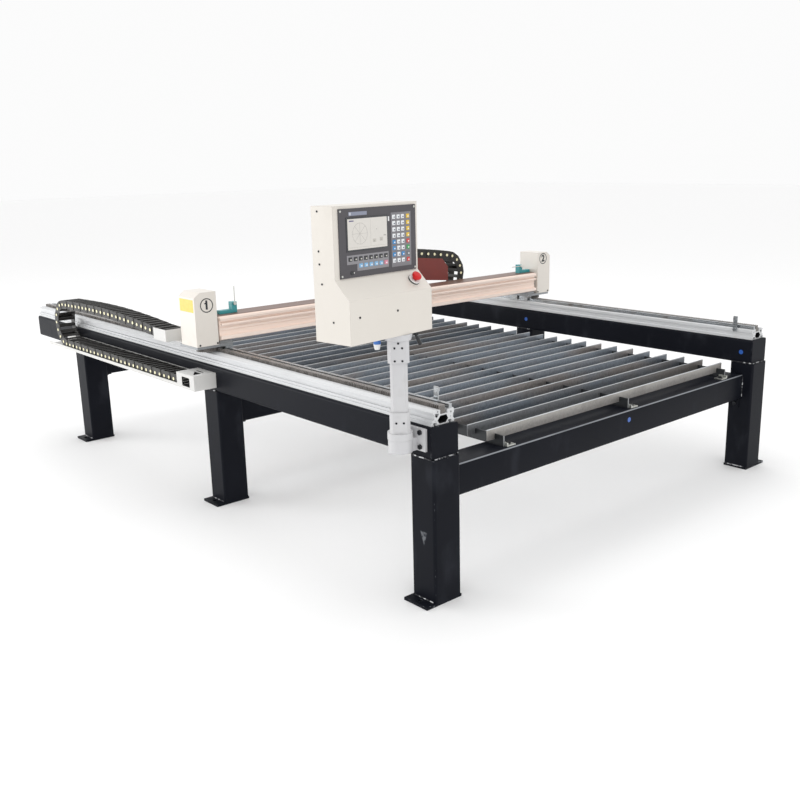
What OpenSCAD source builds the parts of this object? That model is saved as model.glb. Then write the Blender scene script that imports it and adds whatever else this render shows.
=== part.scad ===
// CNC plasma cutting table: a welded steel frame with a bed of slats, a gantry that runs on two
// aluminium rails, a carriage with a torch lifter, two energy chains and a console on a post.
// Lengths are millimetres. X runs across the table, Y from front to back, Z up from the floor.

/* [Table frame] */
// Width over the outer faces of the side beams
table_w = 2127; // [1900:1:2400]
// Width of a side beam and of a leg
beam_w = 120; // [112:1:150]
// Height of a side beam
beam_h = 110; // [100:1:130]
// Length of a side beam
beam_len = 3317; // [3200:1:3600]
// Set-back of a beam's front end from the front of the legs
beam_setback = 10; // [0:1:40]
// Height of the beams' underside above the floor
leg_h = 510; // [470:1:700]
// Depth of a leg along the beam
leg_d = 116; // [112:1:150]
// Distance from the front legs to the middle legs
mid_leg_y = 1349; // [1250:1:1450]
// Distance from the front legs to the rear legs
rear_leg_y = 2727; // [2600:1:2900]
// Wall of the square tube
tube_t = 5; // [3:0.5:8]
// Outer corner radius of the square tube
tube_r = 10; // [9:0.5:16]
// Thickness of a beam's end cap
cap_t = 4; // [2:0.5:8]
// Thickness of a foot plate
foot_t = 10; // [6:1:16]
// How far a foot plate stands out beyond its leg
foot_tab = 40; // [36:1:60]
// Diameter of the anchor hole in a foot plate
foot_hole_d = 18; // [12:1:24]

/* [Cross beams] */
// Height of a cross beam
cross_h = 114; // [90:1:130]
// Thickness of a cross beam
cross_t = 60; // [50:1:64]
// Drop of the cross beams' top below the side beams
cross_drop = 55; // [48:1:80]
// Set-back of a cross beam from the front of its legs
cross_setback = 48; // [30:1:52]
// Leg length of the angle under each end of a cross beam
angle_len = 44; // [36:1:60]
// Width of that angle
angle_w = 40; // [30:1:50]
// Thickness of that angle
angle_t = 5; // [3:0.5:8]
// Thread size of the frame's bolts
bolt_d = 10; // [8:1:14]

/* [Slat bed] */
// Length of a slat
slat_len = 1560; // [1450:1:1650]
// Height of a slat
slat_h = 40; // [36:1:60]
// Thickness of a slat
slat_t = 5; // [3:0.5:8]
// Distance from slat to slat
slat_pitch = 98; // [70:1:140]
// First slat behind the front of the legs
slat_first = 115; // [112:1:160]
// Thickness of a bar that carries the slats
support_t = 6; // [4:0.5:10]
// Height of that bar
support_h = 40; // [36:1:50]
// Depth of the notch that holds a slat
notch_depth = 20; // [12:1:28]
// Play of a slat in its notch, each side
notch_play = 0.3; // [0.1:0.1:1]
// Inset of the outer bars from the slats' ends
support_inset = 40; // [30:1:120]
// Set-back of the bars' front ends from the front cross beam's face
support_setback = 24; // [0:1:28]

/* [Rails] */
// Width of a rail extrusion
rail_w = 102; // [98:1:108]
// Height of a rail extrusion
rail_h = 60; // [54:1:70]
// Length of a rail
rail_len = 3320; // [3200:1:3600]
// Set-back of a rail's front end from the front of the legs
rail_setback = 20; // [0:1:40]
// Width of a linear guide
guide_w = 15; // [12:1:18]
// Height of a linear guide
guide_h = 15; // [12:1:18]
// Distance from screw to screw along a guide
guide_screw_pitch = 120; // [80:1:200]
// Tooth size of the rails' racks, as pitch diameter for each tooth
rack_module = 3; // [2.8:0.1:3.2]
// Teeth on each length of rack
rack_teeth = 54; // [30:1:80]
// Thickness of a rack behind its tooth tips
rack_t = 24; // [16:1:25]
// Height of a gantry rack
rack_h = 28; // [26:1:32]
// Play between the flanks of meshing teeth
tooth_play = 0.3; // [0.1:0.05:0.5]

/* [Gantry] */
// Place of the gantry beam's front face behind the front of the legs
gantry_y = 1389; // [1300:1:1500]
// Depth of the gantry beam
gantry_d = 111; // [100:1:118]
// Height of the gantry beam
gantry_h = 106; // [98:1:125]
// Height of the gantry beam's underside above the rails' base
gantry_lift = 97; // [95:1:105]
// Thickness of the plate under each end of the gantry
base_t = 12; // [8:1:16]
// Length of a bearing block along the rail
block_len = 60; // [50:1:66]
// Width of a bearing block
block_w = 34; // [30:1:38]
// Running gap between a bearing block and its guide
run_gap = 0.3; // [0.2:0.05:0.5]
// Width of a drive cover
cover_w = 103; // [98:1:115]
// Depth of a drive cover
cover_d = 131; // [126:1:145]
// Height of a drive cover
cover_h = 227; // [200:1:260]
// Width of the chamfer on a cover's outer top edge
cover_chamfer_w = 28; // [15:1:40]
// Height of that chamfer
cover_chamfer_h = 21; // [12:1:40]
// Overhang of a drive cover beyond the table's side
cover_overhang = 61; // [55:1:70]
// Sheet of the covers and of the console
sheet_t = 2; // [1.5:0.1:3]
// Teeth on a gantry pinion
gantry_teeth = 26; // [25:1:28]
// Thickness of a gantry pinion
pinion_t = 14; // [10:1:16]
// Side of a drive motor
motor_w = 48; // [42:1:49]
// Length of a drive motor with its gearbox
motor_len = 150; // [120:1:180]

/* [Carriage and torch] */
// Place of the torch across the table
torch_x = 965; // [700:1:1250]
// Width of the carriage plate
carriage_w = 250; // [230:1:300]
// Height of the carriage plate
carriage_h = 168; // [160:1:190]
// Thickness of the carriage plate
carriage_t = 12; // [8:1:16]
// Tooth size of the beam's rack, as pitch diameter for each tooth
beam_rack_module = 2; // [1.8:0.1:2.1]
// Teeth on the carriage pinion
carriage_teeth = 16; // [15:1:17]
// Width of the torch lifter
lifter_w = 90; // [84:1:110]
// Depth of the torch lifter
lifter_d = 80; // [74:1:100]
// Height of the torch lifter
lifter_h = 262; // [250:1:300]
// Travel of the torch lifter
lift_travel = 145; // [100:1:148]
// Diameter of the lifter's screw
screw_d = 12; // [10:1:16]
// Diameter of the torch body
torch_d = 34; // [28:1:40]
// Length of the torch
torch_len = 245; // [220:1:280]
// Clearance of the lowered torch's tip over the slats
torch_gap = 5; // [4:0.5:20]

/* [Energy chains] */
// Width of the gantry's chain
y_chain_w = 92; // [80:1:94]
// Width of the carriage's chain
x_chain_w = 80; // [70:1:90]
// Height of a chain link
link_h = 44; // [38:1:48]
// Length of a chain link from pin to pin
link_pitch = 43; // [40:1:50]
// Bending radius of a chain at its pins
chain_r = 103; // [98:1:110]
// Side plate of a chain link
link_t = 4; // [3:0.5:5]
// Rise of the middle of the gantry chain's upper run
chain_camber = 20; // [5:1:30]
// Length of the gantry chain's lower run
y_lower_len = 1198; // [1120:1:1270]
// Length of the carriage chain's lower run
x_lower_len = 628; // [560:1:700]
// Length of the carriage chain's upper run
x_upper_len = 718; // [700:1:740]
// Length of the tray that carries the gantry's chain
tray_len = 1418; // [1380:1:1600]
// Sheet of the trays and the chain brackets
tray_t = 3; // [2:0.5:4]

/* [Console and post] */
// Width of the console
console_w = 364; // [330:1:420]
// Depth of the console's foot
console_d = 148; // [140:1:180]
// Height of the console
console_h = 400; // [370:1:460]
// How far the console's upper front stands back from its lower front
console_step = 57; // [45:1:70]
// Height of the console's lower front
console_low_h = 132; // [120:1:145]
// Rise of the sloped shelf between the two fronts
console_slope_h = 56; // [45:1:65]
// Turn of the console to the table, in degrees
console_yaw = 6.8; // [-20:0.1:20]
// Height of the console's underside above the side beams
console_lift = 305; // [260:1:380]
// Place of the post behind the front of the legs
post_y = 96; // [88:1:120]
// Distance of the post from the side beam
post_out = 56; // [54:1:66]
// Side of the square post
post_w = 56; // [50:1:58]
// Diameter of the post's base
base_d = 80; // [76:1:92]
// Height of the flange that bolts the post to the beam
flange_h = 76; // [70:1:86]
// Width of that flange
flange_w = 134; // [126:1:140]
// Diameter of the emergency stop's button
stop_d = 32; // [26:1:36]
// Press of the emergency stop
stop_press = 5; // [3:0.5:6]

/* [Hidden] */
// Overrun that takes every cut past its face
cut = slat_t / 5;
$fn = 40;

beam_top = leg_h + beam_h;
beam_back = beam_setback + beam_len;
leg_fronts = [0, mid_leg_y, rear_leg_y];
inner_x = table_w - beam_w;
cross_top = leg_h - cross_drop;
support_end = rear_leg_y + cross_setback + cross_t;
support_front = cross_setback + support_setback;
slat_z = cross_top + support_h - notch_depth;
slat_shift_share = 0.7;
slat_x = (table_w - slat_len) / 2 + beam_w * slat_shift_share;
slat_count = floor((support_end - slat_first - cross_t) / slat_pitch) + 1;
support_xs = [slat_x + support_inset, slat_x + slat_len / 2, slat_x + slat_len - support_inset];

rail_x = beam_w / 12;
rail_back = rail_setback + rail_len;
guide_share = 0.84;
guide_seat_share = 0.78;
rack_seat_share = 0.57;
rack_face_share = 0.4;
guide_x = rail_x + guide_share * rail_w;
guide_z = beam_top + guide_seat_share * rail_h;
rack_x = rail_x + rack_face_share * rail_w + notch_play;
rack_z = beam_top + rack_seat_share * rail_h;
rail_hump_share = 0.83;

gantry_z = beam_top + gantry_lift;
gantry_top = gantry_z + gantry_h;
gantry_back = gantry_y + gantry_d;
base_top = gantry_z - base_t;
base_bottom = base_top - base_t;
cover_y = gantry_y - base_t;
cover_back = cover_y + cover_d;
cover_in = cover_w - cover_overhang;
base_tail_share = 1.75;
base_back = cover_back + base_tail_share * base_t;
gantry_pitch_r = rack_module * gantry_teeth / 2;
pinion_x = rack_x + rack_module - gantry_pitch_r;
pinion_y_share = 0.48;
pinion_y = gantry_y + gantry_d * pinion_y_share;
pinion_z = beam_top + rail_hump_share * rail_h + base_t / 3;
shaft_share = 0.28;
shaft_d = motor_w * shaft_share;

beam_x0 = cover_in + base_t;
beam_x1 = table_w - beam_x0;
x_guide_shares = [0.13, 0.88];
x_rack_share = 0.605;
x_rack_h = guide_w;
x_rack_z = gantry_z + gantry_h * x_rack_share;
x_pitch_r = beam_rack_module * carriage_teeth / 2;
block_rise_share = 0.4;
plate_y = gantry_y - guide_h - block_w * block_rise_share;
plate_front = plate_y - carriage_t;
carriage_x0 = torch_x - carriage_w / 2;
carriage_x1 = torch_x + carriage_w / 2;
carriage_z0 = gantry_z - base_t / 2;
carriage_z1 = carriage_z0 + carriage_h;
x_motor_share = 0.7;
x_motor_x = torch_x + lifter_w / 2 + motor_w * x_motor_share;
x_pinion_z = x_rack_z + beam_rack_module - x_pitch_r;
lifter_front = plate_front - lifter_d;
lifter_drop_share = 0.22;
lifter_z0 = gantry_z - gantry_h * lifter_drop_share;
lifter_z1 = lifter_z0 + lifter_h;
lifter_wall = carriage_t / 2;
screw_y_share = 0.45;
screw_y = plate_front - lifter_d * screw_y_share;
slide_t = lifter_wall + cut;
slide_h = lifter_h - lift_travel - 2 * (lifter_wall + slide_t);
slide_z1 = lifter_z1 - lifter_wall - slide_t;
torch_out_share = 1.3;
torch_y = lifter_front - torch_d * torch_out_share;
torch_z = slat_z + slat_h + torch_gap + lift_travel;

y_chain_x = -y_chain_w / 2 - tray_t * 2;
tray_lift_share = 0.48;
tray_lip_share = 0.27;
y_lower_z = leg_h + tray_lift_share * link_h + link_h / 2;
y_loop_z = y_lower_z + chain_r;
y_upper_z = y_loop_z + chain_r;
fixed_y = gantry_y + gantry_d;
y_loop_y = fixed_y + y_lower_len;
tray_z = y_lower_z - link_h / 2;
holder_y = base_back + link_pitch;
holder_len_share = 2.6;
holder_len = link_pitch * holder_len_share;
holder_pin_share = 0.6;
y_upper_y = holder_y + link_pitch * holder_pin_share;
holder_lift_share = 2.5;
y_start_z = base_top + holder_lift_share * tray_t + link_h / 2 + notch_play;

x_chain_y = cover_back + tray_t + x_chain_w / 2 + cut;
x_lower_z = gantry_z + base_t + link_h / 2;
x_loop_z = x_lower_z + chain_r;
x_upper_z = x_loop_z + chain_r;
x_loop_share = 2.19;
x_camber_share = 1.45;
x_loop_x = torch_x + x_loop_share * carriage_w;
x_fixed_x = x_loop_x - x_lower_len;
x_upper_x = x_loop_x - x_upper_len;
arm_y = cover_back + tray_t / 2;
arm_end_z = gantry_top + notch_play;
arm_droop_share = 0.1;
arm_h_share = 2.6;

console_z = beam_top + console_lift;
// Heights of the post's pieces, as shares of the beam, the base and the post
post_foot_share = 0.25;
post_ring_share = 0.54;
ring_h_share = 0.42;
sleeve_h_share = 1.25;
collar_drop_share = 1.625;
neck_h_share = 0.36;
post_z0 = leg_h + beam_h * post_foot_share;
post_ring_z = post_z0 + base_d * post_ring_share;
sleeve_z = post_ring_z + post_w * ring_h_share;
sleeve_top = sleeve_z + post_w * sleeve_h_share;
collar_z = console_z - post_w * collar_drop_share;
neck_z = console_z - post_w * neck_h_share;
post_x = -post_out;
flange_t = post_out / 6;
console_post_u_share = 0.672;
console_post_v_share = 0.27;
console_front_top = console_low_h + console_slope_h;
panel_t_share = 1.5;
panel_t = sheet_t * panel_t_share;
stop_slope = atan2(console_slope_h, console_step);

// The part's origin lies on the floor, below the middle of its box.
console_left = post_x - console_post_u_share * console_w * cos(console_yaw)
    - (1 - console_post_v_share) * console_d * sin(console_yaw);
origin_x = (console_left + table_w + cover_overhang) / 2;
origin_y = rail_back / 2;

// Shared shapes

module part_frame() {
    translate([-origin_x, -origin_y, 0]) children();
}

module on_right() {
    translate([table_w, 0, 0]) mirror([1, 0, 0]) children();
}

module both_sides() {
    children();
    on_right() children();
}

module bar(x, y, z) {
    translate([x[0], y[0], z[0]]) cube([x[1] - x[0], y[1] - y[0], z[1] - z[0]]);
}

module rod_x(x, y, z, d) {
    translate([x[0], y, z]) rotate([0, 90, 0]) cylinder(d = d, h = x[1] - x[0]);
}

module rod_y(x, y, z, d) {
    translate([x, y[0], z]) rotate([-90, 0, 0]) cylinder(d = d, h = y[1] - y[0]);
}

module rod_z(x, y, z, d) {
    translate([x, y, z[0]]) cylinder(d = d, h = z[1] - z[0]);
}

module along_x(x) {
    translate([x[0], 0, 0]) rotate([90, 0, 90]) linear_extrude(x[1] - x[0]) children();
}

module along_y(y) {
    translate([0, y[1], 0]) rotate([90, 0, 0]) linear_extrude(y[1] - y[0]) children();
}

module round_rect(w, h, r) {
    translate([r, 0]) square([w - 2 * r, h]);
    translate([0, r]) square([w, h - 2 * r]);
    for (x = [r, w - r], y = [r, h - r]) translate([x, y]) circle(r);
}

module tube_section(w, h) {
    difference() {
        round_rect(w, h, tube_r);
        translate([tube_t, tube_t]) round_rect(w - 2 * tube_t, h - 2 * tube_t, tube_r - tube_t);
    }
}

head_w_share = 1.8;
head_h_share = 0.65;

module hex_head(d) {
    cylinder(d = head_w_share * d, h = head_h_share * d, $fn = 6);
}

// Points of an outline, from shares of a width and a height
function outline(shares, w, h) = [for (p = shares) [p[0] * w, p[1] * h]];

// Table frame

// A leg of square tube stands on a foot plate whose tab takes one floor anchor.
module leg(front) {
    translate([0, front, 0]) {
        difference() {
            bar([-foot_tab, beam_w], [0, leg_d], [0, foot_t]);
            rod_z(-foot_tab / 2, leg_d / 2, [-cut, foot_t + cut], foot_hole_d);
        }
        translate([0, 0, foot_t]) linear_extrude(leg_h - foot_t) tube_section(beam_w, leg_d);
    }
}

module legs() {
    color("#2b2d33") both_sides() for (front = leg_fronts) leg(front);
}

module side_beams() {
    color("#2b2d33") both_sides() along_y([beam_setback + cap_t, beam_back - cap_t])
        translate([0, leg_h]) tube_section(beam_w, beam_h);
}

module beam_end_caps() {
    color("#2b2d33") both_sides() for (y = [beam_setback, beam_back - cap_t])
        along_y([y, y + cap_t]) translate([0, leg_h]) round_rect(beam_w, beam_h, tube_r);
}

module cross_beam(front) {
    color("#2b2d33") along_x([beam_w, inner_x])
        translate([front + cross_setback, cross_top - cross_h]) tube_section(cross_t, cross_h);
}

// An angle under each end of a cross beam ties it to the leg.
module cross_beam_angles() {
    z = cross_top - cross_h;
    color("#2b2d33") both_sides() for (front = leg_fronts) {
        y = front + cross_setback + (cross_t - angle_w) / 2;
        bar([beam_w, beam_w + angle_t], [y, y + angle_w], [z - angle_len, z]);
        bar([beam_w, beam_w + angle_len], [y, y + angle_w], [z - angle_t, z]);
    }
}

// Bolts of the cross beams' angles, of the slat bars' clips and of the post's flange
angle_bolt_share = 0.6;
flange_bolt_w_share = 0.33;
flange_bolt_h_share = 0.32;

module frame_bolts() {
    z = cross_top - cross_h;
    color("#33343a") {
        both_sides() for (front = leg_fronts) {
            y = front + cross_setback + cross_t / 2;
            off = angle_len * angle_bolt_share;
            translate([beam_w + angle_t, y, z - off]) rotate([0, 90, 0]) hex_head(bolt_d);
            translate([beam_w + off, y, z - angle_t]) mirror([0, 0, 1]) hex_head(bolt_d);
        }
        for (front = leg_fronts, x = support_xs)
            translate([clip_x(x), front + cross_setback + cross_t / 2, cross_top + angle_t])
                hex_head(bolt_d);
        for (y = [-1, 1], z = [-1, 1])
            translate([-flange_t, post_y + y * flange_w * flange_bolt_w_share,
                post_z0 + flange_h / 2 + z * flange_h * flange_bolt_h_share])
                rotate([0, -90, 0]) hex_head(bolt_d);
    }
}

// Slat bed

function slat_y(i) = slat_first + i * slat_pitch;

module slats() {
    color("#8a8f94") for (i = [0:slat_count - 1])
        bar([slat_x, slat_x + slat_len], [slat_y(i), slat_y(i) + slat_t], [slat_z, slat_z + slat_h]);
}

// A flat bar on edge, notched for each slat
module slat_support(x) {
    top = cross_top + support_h;
    difference() {
        bar([x - support_t / 2, x + support_t / 2], [support_front, support_end], [cross_top, top]);
        for (i = [0:slat_count - 1])
            bar([x - support_t, x + support_t],
                [slat_y(i) - notch_play, slat_y(i) + slat_t + notch_play], [slat_z, top + cut]);
    }
}

module slat_supports() {
    color("#9a9da1") for (x = support_xs) slat_support(x);
}

// The clips stand beside their bars, on the side that faces the middle of the table.
function clip_side(x) = x < support_xs[1] ? 1 : (x > support_xs[1] ? -1 : 1);
function clip_x(x) = x + clip_side(x) * (support_t / 2 + angle_len * angle_bolt_share);

module support_clips() {
    color("#b4b7ba") for (front = leg_fronts, x = support_xs) {
        s = clip_side(x);
        face = x + s * support_t / 2;
        y = front + cross_setback + (cross_t - angle_w) / 2;
        far = face + s * angle_len;
        up = face + s * angle_t;
        bar([min(face, far), max(face, far)], [y, y + angle_w], [cross_top, cross_top + angle_t]);
        bar([min(face, up), max(face, up)], [y, y + angle_w],
            [cross_top, slat_z - angle_t]);
    }
}

// Rails

// Outer outline of the rail, from its outer bottom corner: shares of its width and height
rail_shares = [[0, 0], [1, 0], [1, 0.18], [0.96, 0.23], [0.96, 0.47], [1, 0.53], [1, 0.72],
    [0.97, 0.78], [0.71, 0.78], [0.71, 0.57], [0.395, 0.57], [0.395, 0.83], [0.24, 0.83],
    [0.1, 0.73], [0.08, 0.73], [0.08, 0.65], [0.14, 0.65], [0.14, 0.33], [0.06, 0.33],
    [0.06, 0.18], [0, 0.18]];
// Hollow below the rack's channel
rail_hollow_shares = [[0.36, 0.07], [0.64, 0.07], [0.74, 0.26], [0.67, 0.5], [0.4, 0.5],
    [0.27, 0.26]];
// Hollow inside the outer hump
rail_side_shares = [[0.18, 0.5], [0.24, 0.4], [0.34, 0.58], [0.34, 0.64], [0.18, 0.66]];
// Slots along the underside, as places across the width
rail_slot_shares = [0.16, 0.81];
rail_slot_mouth_share = 0.07;
rail_slot_w_share = 0.14;
rail_slot_lip_share = 0.06;
rail_slot_depth_share = 0.11;
// Round holes along the extrusion: place across, height, radius as shares of width, height, width
rail_hole_shares = [[0.29, 0.74, 0.03], [0.86, 0.58, 0.035], [0.19, 0.27, 0.018], [0.84, 0.33, 0.018]];

module rail_section() {
    difference() {
        polygon(outline(rail_shares, rail_w, rail_h));
        polygon(outline(rail_hollow_shares, rail_w, rail_h));
        polygon(outline(rail_side_shares, rail_w, rail_h));
        for (s = rail_slot_shares) {
            translate([(s - rail_slot_mouth_share / 2) * rail_w, -cut])
                square([rail_slot_mouth_share * rail_w, rail_slot_lip_share * rail_h + 2 * cut]);
            translate([(s - rail_slot_w_share / 2) * rail_w, rail_slot_lip_share * rail_h])
                square([rail_slot_w_share * rail_w, rail_slot_depth_share * rail_h]);
        }
        for (h = rail_hole_shares) translate([h[0] * rail_w, h[1] * rail_h]) circle(h[2] * rail_w);
    }
}

module rails() {
    color("#c9ccce") both_sides() along_y([rail_setback, rail_back])
        translate([rail_x, beam_top]) rail_section();
}

// A linear guide has a groove along each side for the balls.
groove_r_share = 0.15;
groove_z_share = 0.6;
// Screw pockets in the guide's top: the first one's place, floor and diameter
pocket_first_share = 0.4;
pocket_floor_share = 0.6;
pocket_d_share = 0.5;

module guide_section() {
    difference() {
        translate([-guide_w / 2, 0]) square([guide_w, guide_h]);
        for (x = [-guide_w / 2, guide_w / 2]) translate([x, guide_h * groove_z_share])
            circle(guide_w * groove_r_share);
    }
}

module rail_guide() {
    count = floor((rail_len - guide_screw_pitch / 2) / guide_screw_pitch);
    difference() {
        along_y([rail_setback, rail_back]) translate([guide_x, guide_z]) guide_section();
        for (i = [0:count]) {
            y = rail_setback + guide_screw_pitch * (i + pocket_first_share);
            rod_z(guide_x, y, [guide_z + guide_h * pocket_floor_share, guide_z + guide_h + cut],
                guide_w * pocket_d_share);
        }
    }
}

module rail_guides() {
    color("#8d9195") both_sides() rail_guide();
}

// Outline of a length of rack: teeth along X from 0, tips at Y 0, back at Y -depth
rack_tooth_shares = [[0.88, -1], [0.63, 0], [0.37, 0], [0.12, -1]];
rack_root_share = 2.25;
tooth_mid_share = 0.5;
function rack_outline(count, depth, m) =
    let (pitch = PI * m, root = rack_root_share * m, end = count * pitch - notch_play)
    concat([[0, -root], [0, -depth], [end, -depth], [end, -root]],
        [for (i = [count - 1:-1:0], p = rack_tooth_shares) [(i + p[0]) * pitch, p[1] * root]]);

// Lengths of rack laid end to end so that a tooth lies at the given place along X
module rack_lengths(from, to, tooth_at, depth, m) {
    pitch = PI * m;
    before = floor((tooth_at - from) / pitch - tooth_mid_share);
    start = tooth_at - (before + tooth_mid_share) * pitch;
    count = floor((to - start) / pitch);
    for (first = [0:rack_teeth:count - 1]) translate([start + first * pitch, 0])
        polygon(rack_outline(min(rack_teeth, count - first), depth, m));
}

// The teeth face away from the table, above the rail's outer hump.
module rack() {
    translate([rack_x, 0, rack_z]) linear_extrude(rack_h) rotate(90)
        rack_lengths(rail_setback, rail_back, pinion_y, rack_t, rack_module);
}

module rail_racks() {
    color("#7d6a5c") both_sides() rack();
}

// One stop near the front of each rail, bolted to the rail's inner side and standing above it
stop_y_share = 0.75;
stop_w_share = 0.5;
stop_z_shares = [0.53, 1.7];
stop_bolt_shares = [0.68, 1.5];

module rail_stops() {
    x = rail_x + rail_w;
    y = rail_setback + rail_w * stop_y_share;
    w = angle_w * stop_w_share;
    z = stop_z_shares * rail_h;
    color("#a9acb0") both_sides() translate([0, 0, beam_top]) {
        bar([x, x + angle_t], [y, y + w], z);
        for (share = stop_bolt_shares) translate([x + angle_t, y + w / 2, share * rail_h])
            rotate([0, 90, 0]) hex_head(bolt_d);
    }
}

// Chain of the gantry

// A side plate of a link runs past both pins; inner plates lie against the outer ones.
link_end_share = 0.22;
link_chamfer_share = 0.18;
link_bar_shares = [0.3, 0.7];

module link_plate(length) {
    e = link_end_share * link_pitch;
    c = link_chamfer_share * link_h;
    h = link_h / 2;
    polygon([[-e, c - h], [c - e, -h], [length + e - c, -h], [length + e, c - h],
        [length + e, h - c], [length + e - c, h], [c - e, h], [-e, h - c]]);
}

// A link along Y, from its first pin at the origin
module chain_link(length, width, outer) {
    inset = outer ? 0 : link_t + notch_play;
    y = link_bar_shares * length;
    x = width / 2 - inset;
    for (s = [-x, x - link_t]) translate([s, 0, 0]) rotate([90, 0, 90]) linear_extrude(link_t)
        link_plate(length);
    for (z = [-link_h / 2, link_h / 2 - link_t])
        bar([link_t - x, x - link_t], y, [z, z + link_t]);
}

// Links from pin to pin along a list of places [y, z]
module chain(pins, width, first) {
    for (i = [0:len(pins) - 2]) {
        dy = pins[i + 1][0] - pins[i][0];
        dz = pins[i + 1][1] - pins[i][1];
        translate([0, pins[i][0], pins[i][1]]) rotate([atan2(dz, dy), 0, 0])
            chain_link(norm([dy, dz]), width, (first + i) % 2 == 0);
    }
}

function even_count(length) = 2 * round(length / link_pitch / 2);
function straight_pins(a, b, n, rise) = [for (i = [0:n])
    [a[0] + (b[0] - a[0]) * i / n, a[1] + (b[1] - a[1]) * i / n + rise * sin(180 * i / n)]];
function arc_pins(c, from, to, n) = [for (i = [0:n]) let (a = from + (to - from) * i / n)
    [c[0] + chain_r * cos(a), c[1] + chain_r * sin(a)]];
quarter_links = 4;

module y_chain(pins) {
    color("#2a2a2d") translate([y_chain_x, 0, 0]) chain(pins, y_chain_w, 0);
}

module y_chain_lower() {
    y_chain(straight_pins([fixed_y, y_lower_z], [y_loop_y, y_lower_z], even_count(y_lower_len), 0));
}

module y_chain_loop_lower() {
    y_chain(arc_pins([y_loop_y, y_loop_z], -90, 0, quarter_links));
}

module y_chain_loop_upper() {
    y_chain(arc_pins([y_loop_y, y_loop_z], 0, 90, quarter_links));
}

module y_chain_upper() {
    y_chain(straight_pins([y_loop_y, y_upper_z], [y_upper_y, y_start_z],
        even_count(y_loop_y - y_upper_y), chain_camber));
}

// A sheet trough on the side beam carries the chain's lower run.
module chain_tray() {
    x = y_chain_x - y_chain_w / 2 - tray_t;
    y = [fixed_y, fixed_y + tray_len];
    color("#e6e5e1") {
        bar([x - tray_t, 0], y, [tray_z - tray_t, tray_z]);
        bar([x - tray_t, x], y, [tray_z, tray_z + tray_lip_share * link_h]);
        bar([-tray_t, 0], y, [tray_z, tray_z + link_h]);
    }
}

// The box that holds the chain's fixed end has a window in its outer face and openings on top.
anchor_len_share = 1.14;
anchor_h_share = 1.4;
// Place and size of the window along the box and up it, as shares of its length and a link's height
window_shares = [0.26, 0.25];
window_size_shares = [0.44, 0.9];
// Corners of the top's three-cornered opening, and the slot beside it, as shares of width and length
corner_shares = [[0.16, 0.2], [0.6, 0.2], [0.6, 0.6]];
slot_shares = [0.72, 0.3];
slot_size_shares = [0.12, 0.4];

module chain_anchor() {
    x = y_chain_x - y_chain_w / 2 - 2 * tray_t;
    length = cover_d * anchor_len_share;
    y = [fixed_y - length, fixed_y];
    z = [tray_z - tray_t, tray_z + anchor_h_share * link_h];
    color("#e6e5e1") difference() {
        bar([x, 0], y, z);
        bar([x + tray_t, -tray_t], [y[0] + tray_t, y[1] + cut], [z[0] + tray_t, z[1] - tray_t]);
        along_x([x - cut, x + tray_t + cut])
            translate([y[0] + window_shares[0] * length, z[0] + window_shares[1] * link_h])
            round_rect(window_size_shares[0] * length, window_size_shares[1] * link_h, tube_t);
        translate([x, y[0], z[1] - tray_t - cut]) linear_extrude(tray_t + 2 * cut) {
            polygon(outline(corner_shares, y_chain_w, length));
            translate([slot_shares[0] * y_chain_w, slot_shares[1] * length])
                round_rect(slot_size_shares[0] * y_chain_w, slot_size_shares[1] * length, tray_t);
        }
    }
}

// An open box on the gantry's end base takes the chain's moving end.
holder_wall_share = 1.1;

module chain_holder() {
    x = [y_chain_x - y_chain_w / 2 - tray_t - cut, y_chain_x + y_chain_w / 2 + tray_t + cut];
    z = y_start_z - link_h / 2 - notch_play;
    color("#e6e5e1") {
        bar([x[0], x[1]], [holder_y, holder_y + holder_len], [z - tray_t, z]);
        for (w = [x[0], x[1] - tray_t])
            bar([w, w + tray_t], [holder_y, holder_y + holder_len], [z, z + link_h * holder_wall_share]);
        bar([x[0], x[1]], [holder_y, holder_y + tray_t], [z, z + link_h * holder_wall_share]);
        bar([y_chain_x, y_chain_x + y_chain_w / 2], [cover_back + tray_t, holder_y + holder_len],
            [base_top, z - tray_t]);
    }
}

// Gantry

// Section of the gantry beam: front at Y 0, underside at Z 0
beam_groove_shares = [0.36, 0.5];
beam_groove_w_share = 0.05;
beam_web_share = 0.06;

module gantry_section() {
    wall = gantry_h * beam_web_share;
    chamber = (gantry_d - 3 * wall) / 2;
    difference() {
        round_rect(gantry_d, gantry_h, wall);
        for (z = beam_groove_shares) translate([-cut, gantry_h * z])
            square([wall / 2 + cut, gantry_h * beam_groove_w_share]);
        for (z = beam_groove_shares) translate([gantry_d - wall / 2, gantry_h * z])
            square([wall / 2 + cut, gantry_h * beam_groove_w_share]);
        for (y = [wall, 2 * wall + chamber]) translate([y, wall]) square([chamber, gantry_h - 2 * wall]);
    }
}

module gantry_beam() {
    color("#d8cfc6") along_x([beam_x0, beam_x1]) translate([gantry_y, gantry_z]) gantry_section();
}

// The plate under each end carries the drive and, on a step, the beam.
module end_bases() {
    x = [sheet_t - cover_overhang + cut, rail_x + rail_w];
    color("#4a4b50") both_sides() {
        difference() {
            bar(x, [gantry_y - base_t / 2, base_back], [base_bottom, base_top]);
            rod_z(pinion_x, pinion_y, [base_bottom - cut, base_top + cut], shaft_d + base_t / 2);
        }
        bar([beam_x0, x[1]], [gantry_y, gantry_back], [base_top, gantry_z]);
    }
}

// A bearing block straddles its guide with a running gap and reaches the plate that it carries.
block_foot_share = 0.25;

module block_section(reach) {
    foot = guide_h * block_foot_share;
    difference() {
        translate([-block_w / 2, foot]) square([block_w, reach - foot]);
        translate([-guide_w / 2 - run_gap, -cut])
            square([guide_w + 2 * run_gap, guide_h + run_gap + cut]);
    }
}

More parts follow.
